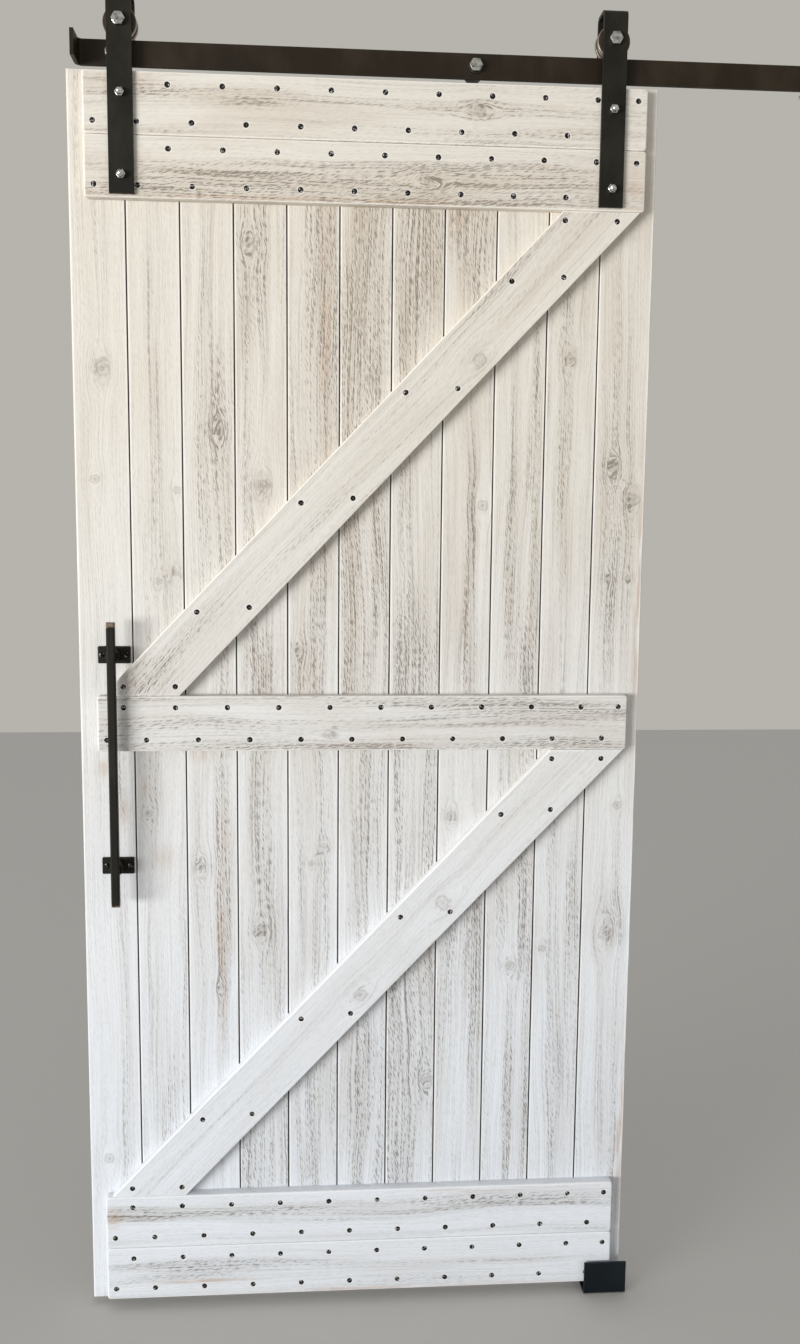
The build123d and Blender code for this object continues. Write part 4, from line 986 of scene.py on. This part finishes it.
def build_threads(node, starts, along, length, point, root, crest, pitch):
    """A pointed ridge that winds round the stem of each screw of a node."""
    along = np.array(along, float)
    first = np.array([1.0, 0, 0])
    second = np.cross(along, first)
    turns = (length - point / 2) / pitch
    angles = np.arange(round(turns * THREAD_STEPS) + 1) * math.tau / THREAD_STEPS
    travel = angles / math.tau * pitch
    stem = root * np.clip((length - travel) / point, THREAD_TIP_SHARE, 1)
    outward = np.outer(np.cos(angles), first) + np.outer(np.sin(angles), second)
    half_width = RIDGE_HALF_WIDTH_SHARE * pitch
    foot = stem - RIDGE_SINK
    coils = []
    for shift, radius in ((0, foot), (half_width, stem + crest - root), (2 * half_width, foot)):
        coils.append(np.outer(travel + shift, along) + outward * radius[:, None])
    count = len(angles)
    points = np.concatenate(coils)
    faces = []
    for step in range(count - 1):
        for side in range(3):
            near, far = side * count + step, (side + 1) % 3 * count + step
            faces.append((near, near + 1, far + 1, far))
    faces += [(0, count, 2 * count), (3 * count - 1, 2 * count - 1, count - 1)]
    mesh = bpy.data.meshes.new(node + "_threads")
    every, polygons = copies(points, faces, starts)
    mesh.from_pydata(every, [], polygons)
    shell = bmesh.new()
    shell.from_mesh(mesh)
    bmesh.ops.recalc_face_normals(shell, faces=shell.faces)
    shell.to_mesh(mesh)
    shell.free()
    mesh.set_sharp_from_angle(angle=SMOOTH_ANGLE)
    piece = add_object(mesh.name, mesh)
    paint_as(piece, node)
    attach(piece, "frame")


for number in range(1, PLANK_COUNT + 1):
    build_plank(number)
for seed, node in enumerate(BOARDS, start=FIRST_BOARD_SEED):
    build_board(node, seed)
build_brace("brace_upper", BRACE_TIP_CUT, BRACE_SEEDS["brace_upper"])
build_brace("brace_lower", 0.0, BRACE_SEEDS["brace_lower"])
for node in BOARDS + tuple(BRACE_SEEDS):
    build_screws(node + "_screws", WOOD_SCREW_RECESS, wood_screw_outline)
build_screws("handle_screws", HANDLE_SCREW_RECESS, handle_screw_outline)

wall_bolts = [(x, 0, z) for x, y, z in box_middles("wall_bolts")]
build_threads("wall_bolts", wall_bolts, (0, 1, 0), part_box("wall_bolts")[1].y, **WALL_BOLT_THREAD)
floor_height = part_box("floor_guide")[0].z
guide_screws = [(x, y, floor_height) for x, y, z in box_middles("floor_guide_screws")]
guide_screw_length = floor_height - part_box("floor_guide_screws")[0].z
build_threads("floor_guide_screws", guide_screws, (0, 0, -1), guide_screw_length, **GUIDE_SCREW_THREAD)

for name, node in NODES.items():
    paint_as(node, name)
    node.data.shade_smooth()
    node.data.set_sharp_from_angle(angle=SMOOTH_ANGLE)


# Floor, light and camera
def set_camera():
    yaw, pitch, roll = CAMERA_YAW, CAMERA_PITCH, CAMERA_ROLL
    forward = Vector((math.sin(yaw) * math.cos(pitch), math.cos(yaw) * math.cos(pitch), math.sin(pitch)))
    level = Vector((math.cos(yaw), -math.sin(yaw), 0))
    down = forward.cross(level)
    right = math.cos(roll) * level + math.sin(roll) * down
    below = -math.sin(roll) * level + math.cos(roll) * down
    data = bpy.data.cameras.new("camera")
    data.lens = CAMERA_LENS
    data.sensor_width = CAMERA_SENSOR
    camera = add_object("camera", data)
    turn = Matrix((right, -below, -forward)).transposed()
    camera.matrix_world = Matrix.Translation(CAMERA_PLACE) @ turn.to_4x4()
    bpy.context.scene.camera = camera


def add_key_light():
    """A wide soft light from the left, as through a window."""
    data = bpy.data.lights.new("key", "AREA")
    data.shape = "ELLIPSE"
    data.size = KEY_WIDTH
    data.size_y = KEY_HEIGHT
    data.energy = KEY_POWER
    lamp = add_object("key", data)
    lamp.location = KEY_PLACE
    lamp.rotation_euler = (KEY_TARGET - KEY_PLACE).to_track_quat("-Z", "Y").to_euler()


def set_world():
    """Even light all round. Seen directly, in a reflection or through a piece it is a pale backdrop."""
    world = bpy.data.worlds.new("studio")
    bpy.context.scene.world = world
    world.use_nodes = True
    tree = world.node_tree
    tree.nodes.clear()
    rays = tree.nodes.new("ShaderNodeLightPath")
    seen = rays.outputs["Is Camera Ray"]
    for kind in ("Is Glossy Ray", "Is Transmission Ray"):
        either = tree.nodes.new("ShaderNodeMath")
        either.operation = "MAXIMUM"
        tree.links.new(seen, either.inputs[0])
        tree.links.new(rays.outputs[kind], either.inputs[1])
        seen = either.outputs[0]
    mixed = tree.nodes.new("ShaderNodeMixShader")
    tree.links.new(seen, mixed.inputs[0])
    for socket, (colour, strength) in enumerate(((FILL, FILL_STRENGTH), (BACKDROP, 1.0)), start=1):
        shade = tree.nodes.new("ShaderNodeBackground")
        shade.inputs["Color"].default_value = colour
        shade.inputs["Strength"].default_value = strength
        tree.links.new(shade.outputs[0], mixed.inputs[socket])
    output = tree.nodes.new("ShaderNodeOutputWorld")
    tree.links.new(mixed.outputs[0], output.inputs["Surface"])


def add_floor():
    mesh = bpy.data.meshes.new("floor")
    signs = ((-1, -1), (1, -1), (1, 1), (-1, 1))
    mesh.from_pydata([(FLOOR_REACH * x, FLOOR_REACH * y, 0) for x, y in signs], [], [(0, 1, 2, 3)])
    floor = add_object("floor", mesh)
    floor.location = (FLOOR_MIDDLE_X, 0, floor_height)
    mesh.materials.append(Shader("floor").finish(Base_Color=FLOOR_COLOUR, Roughness=0.8))


set_camera()
set_world()
add_key_light()
add_floor()
bpy.context.scene.view_settings.view_transform = "Standard"
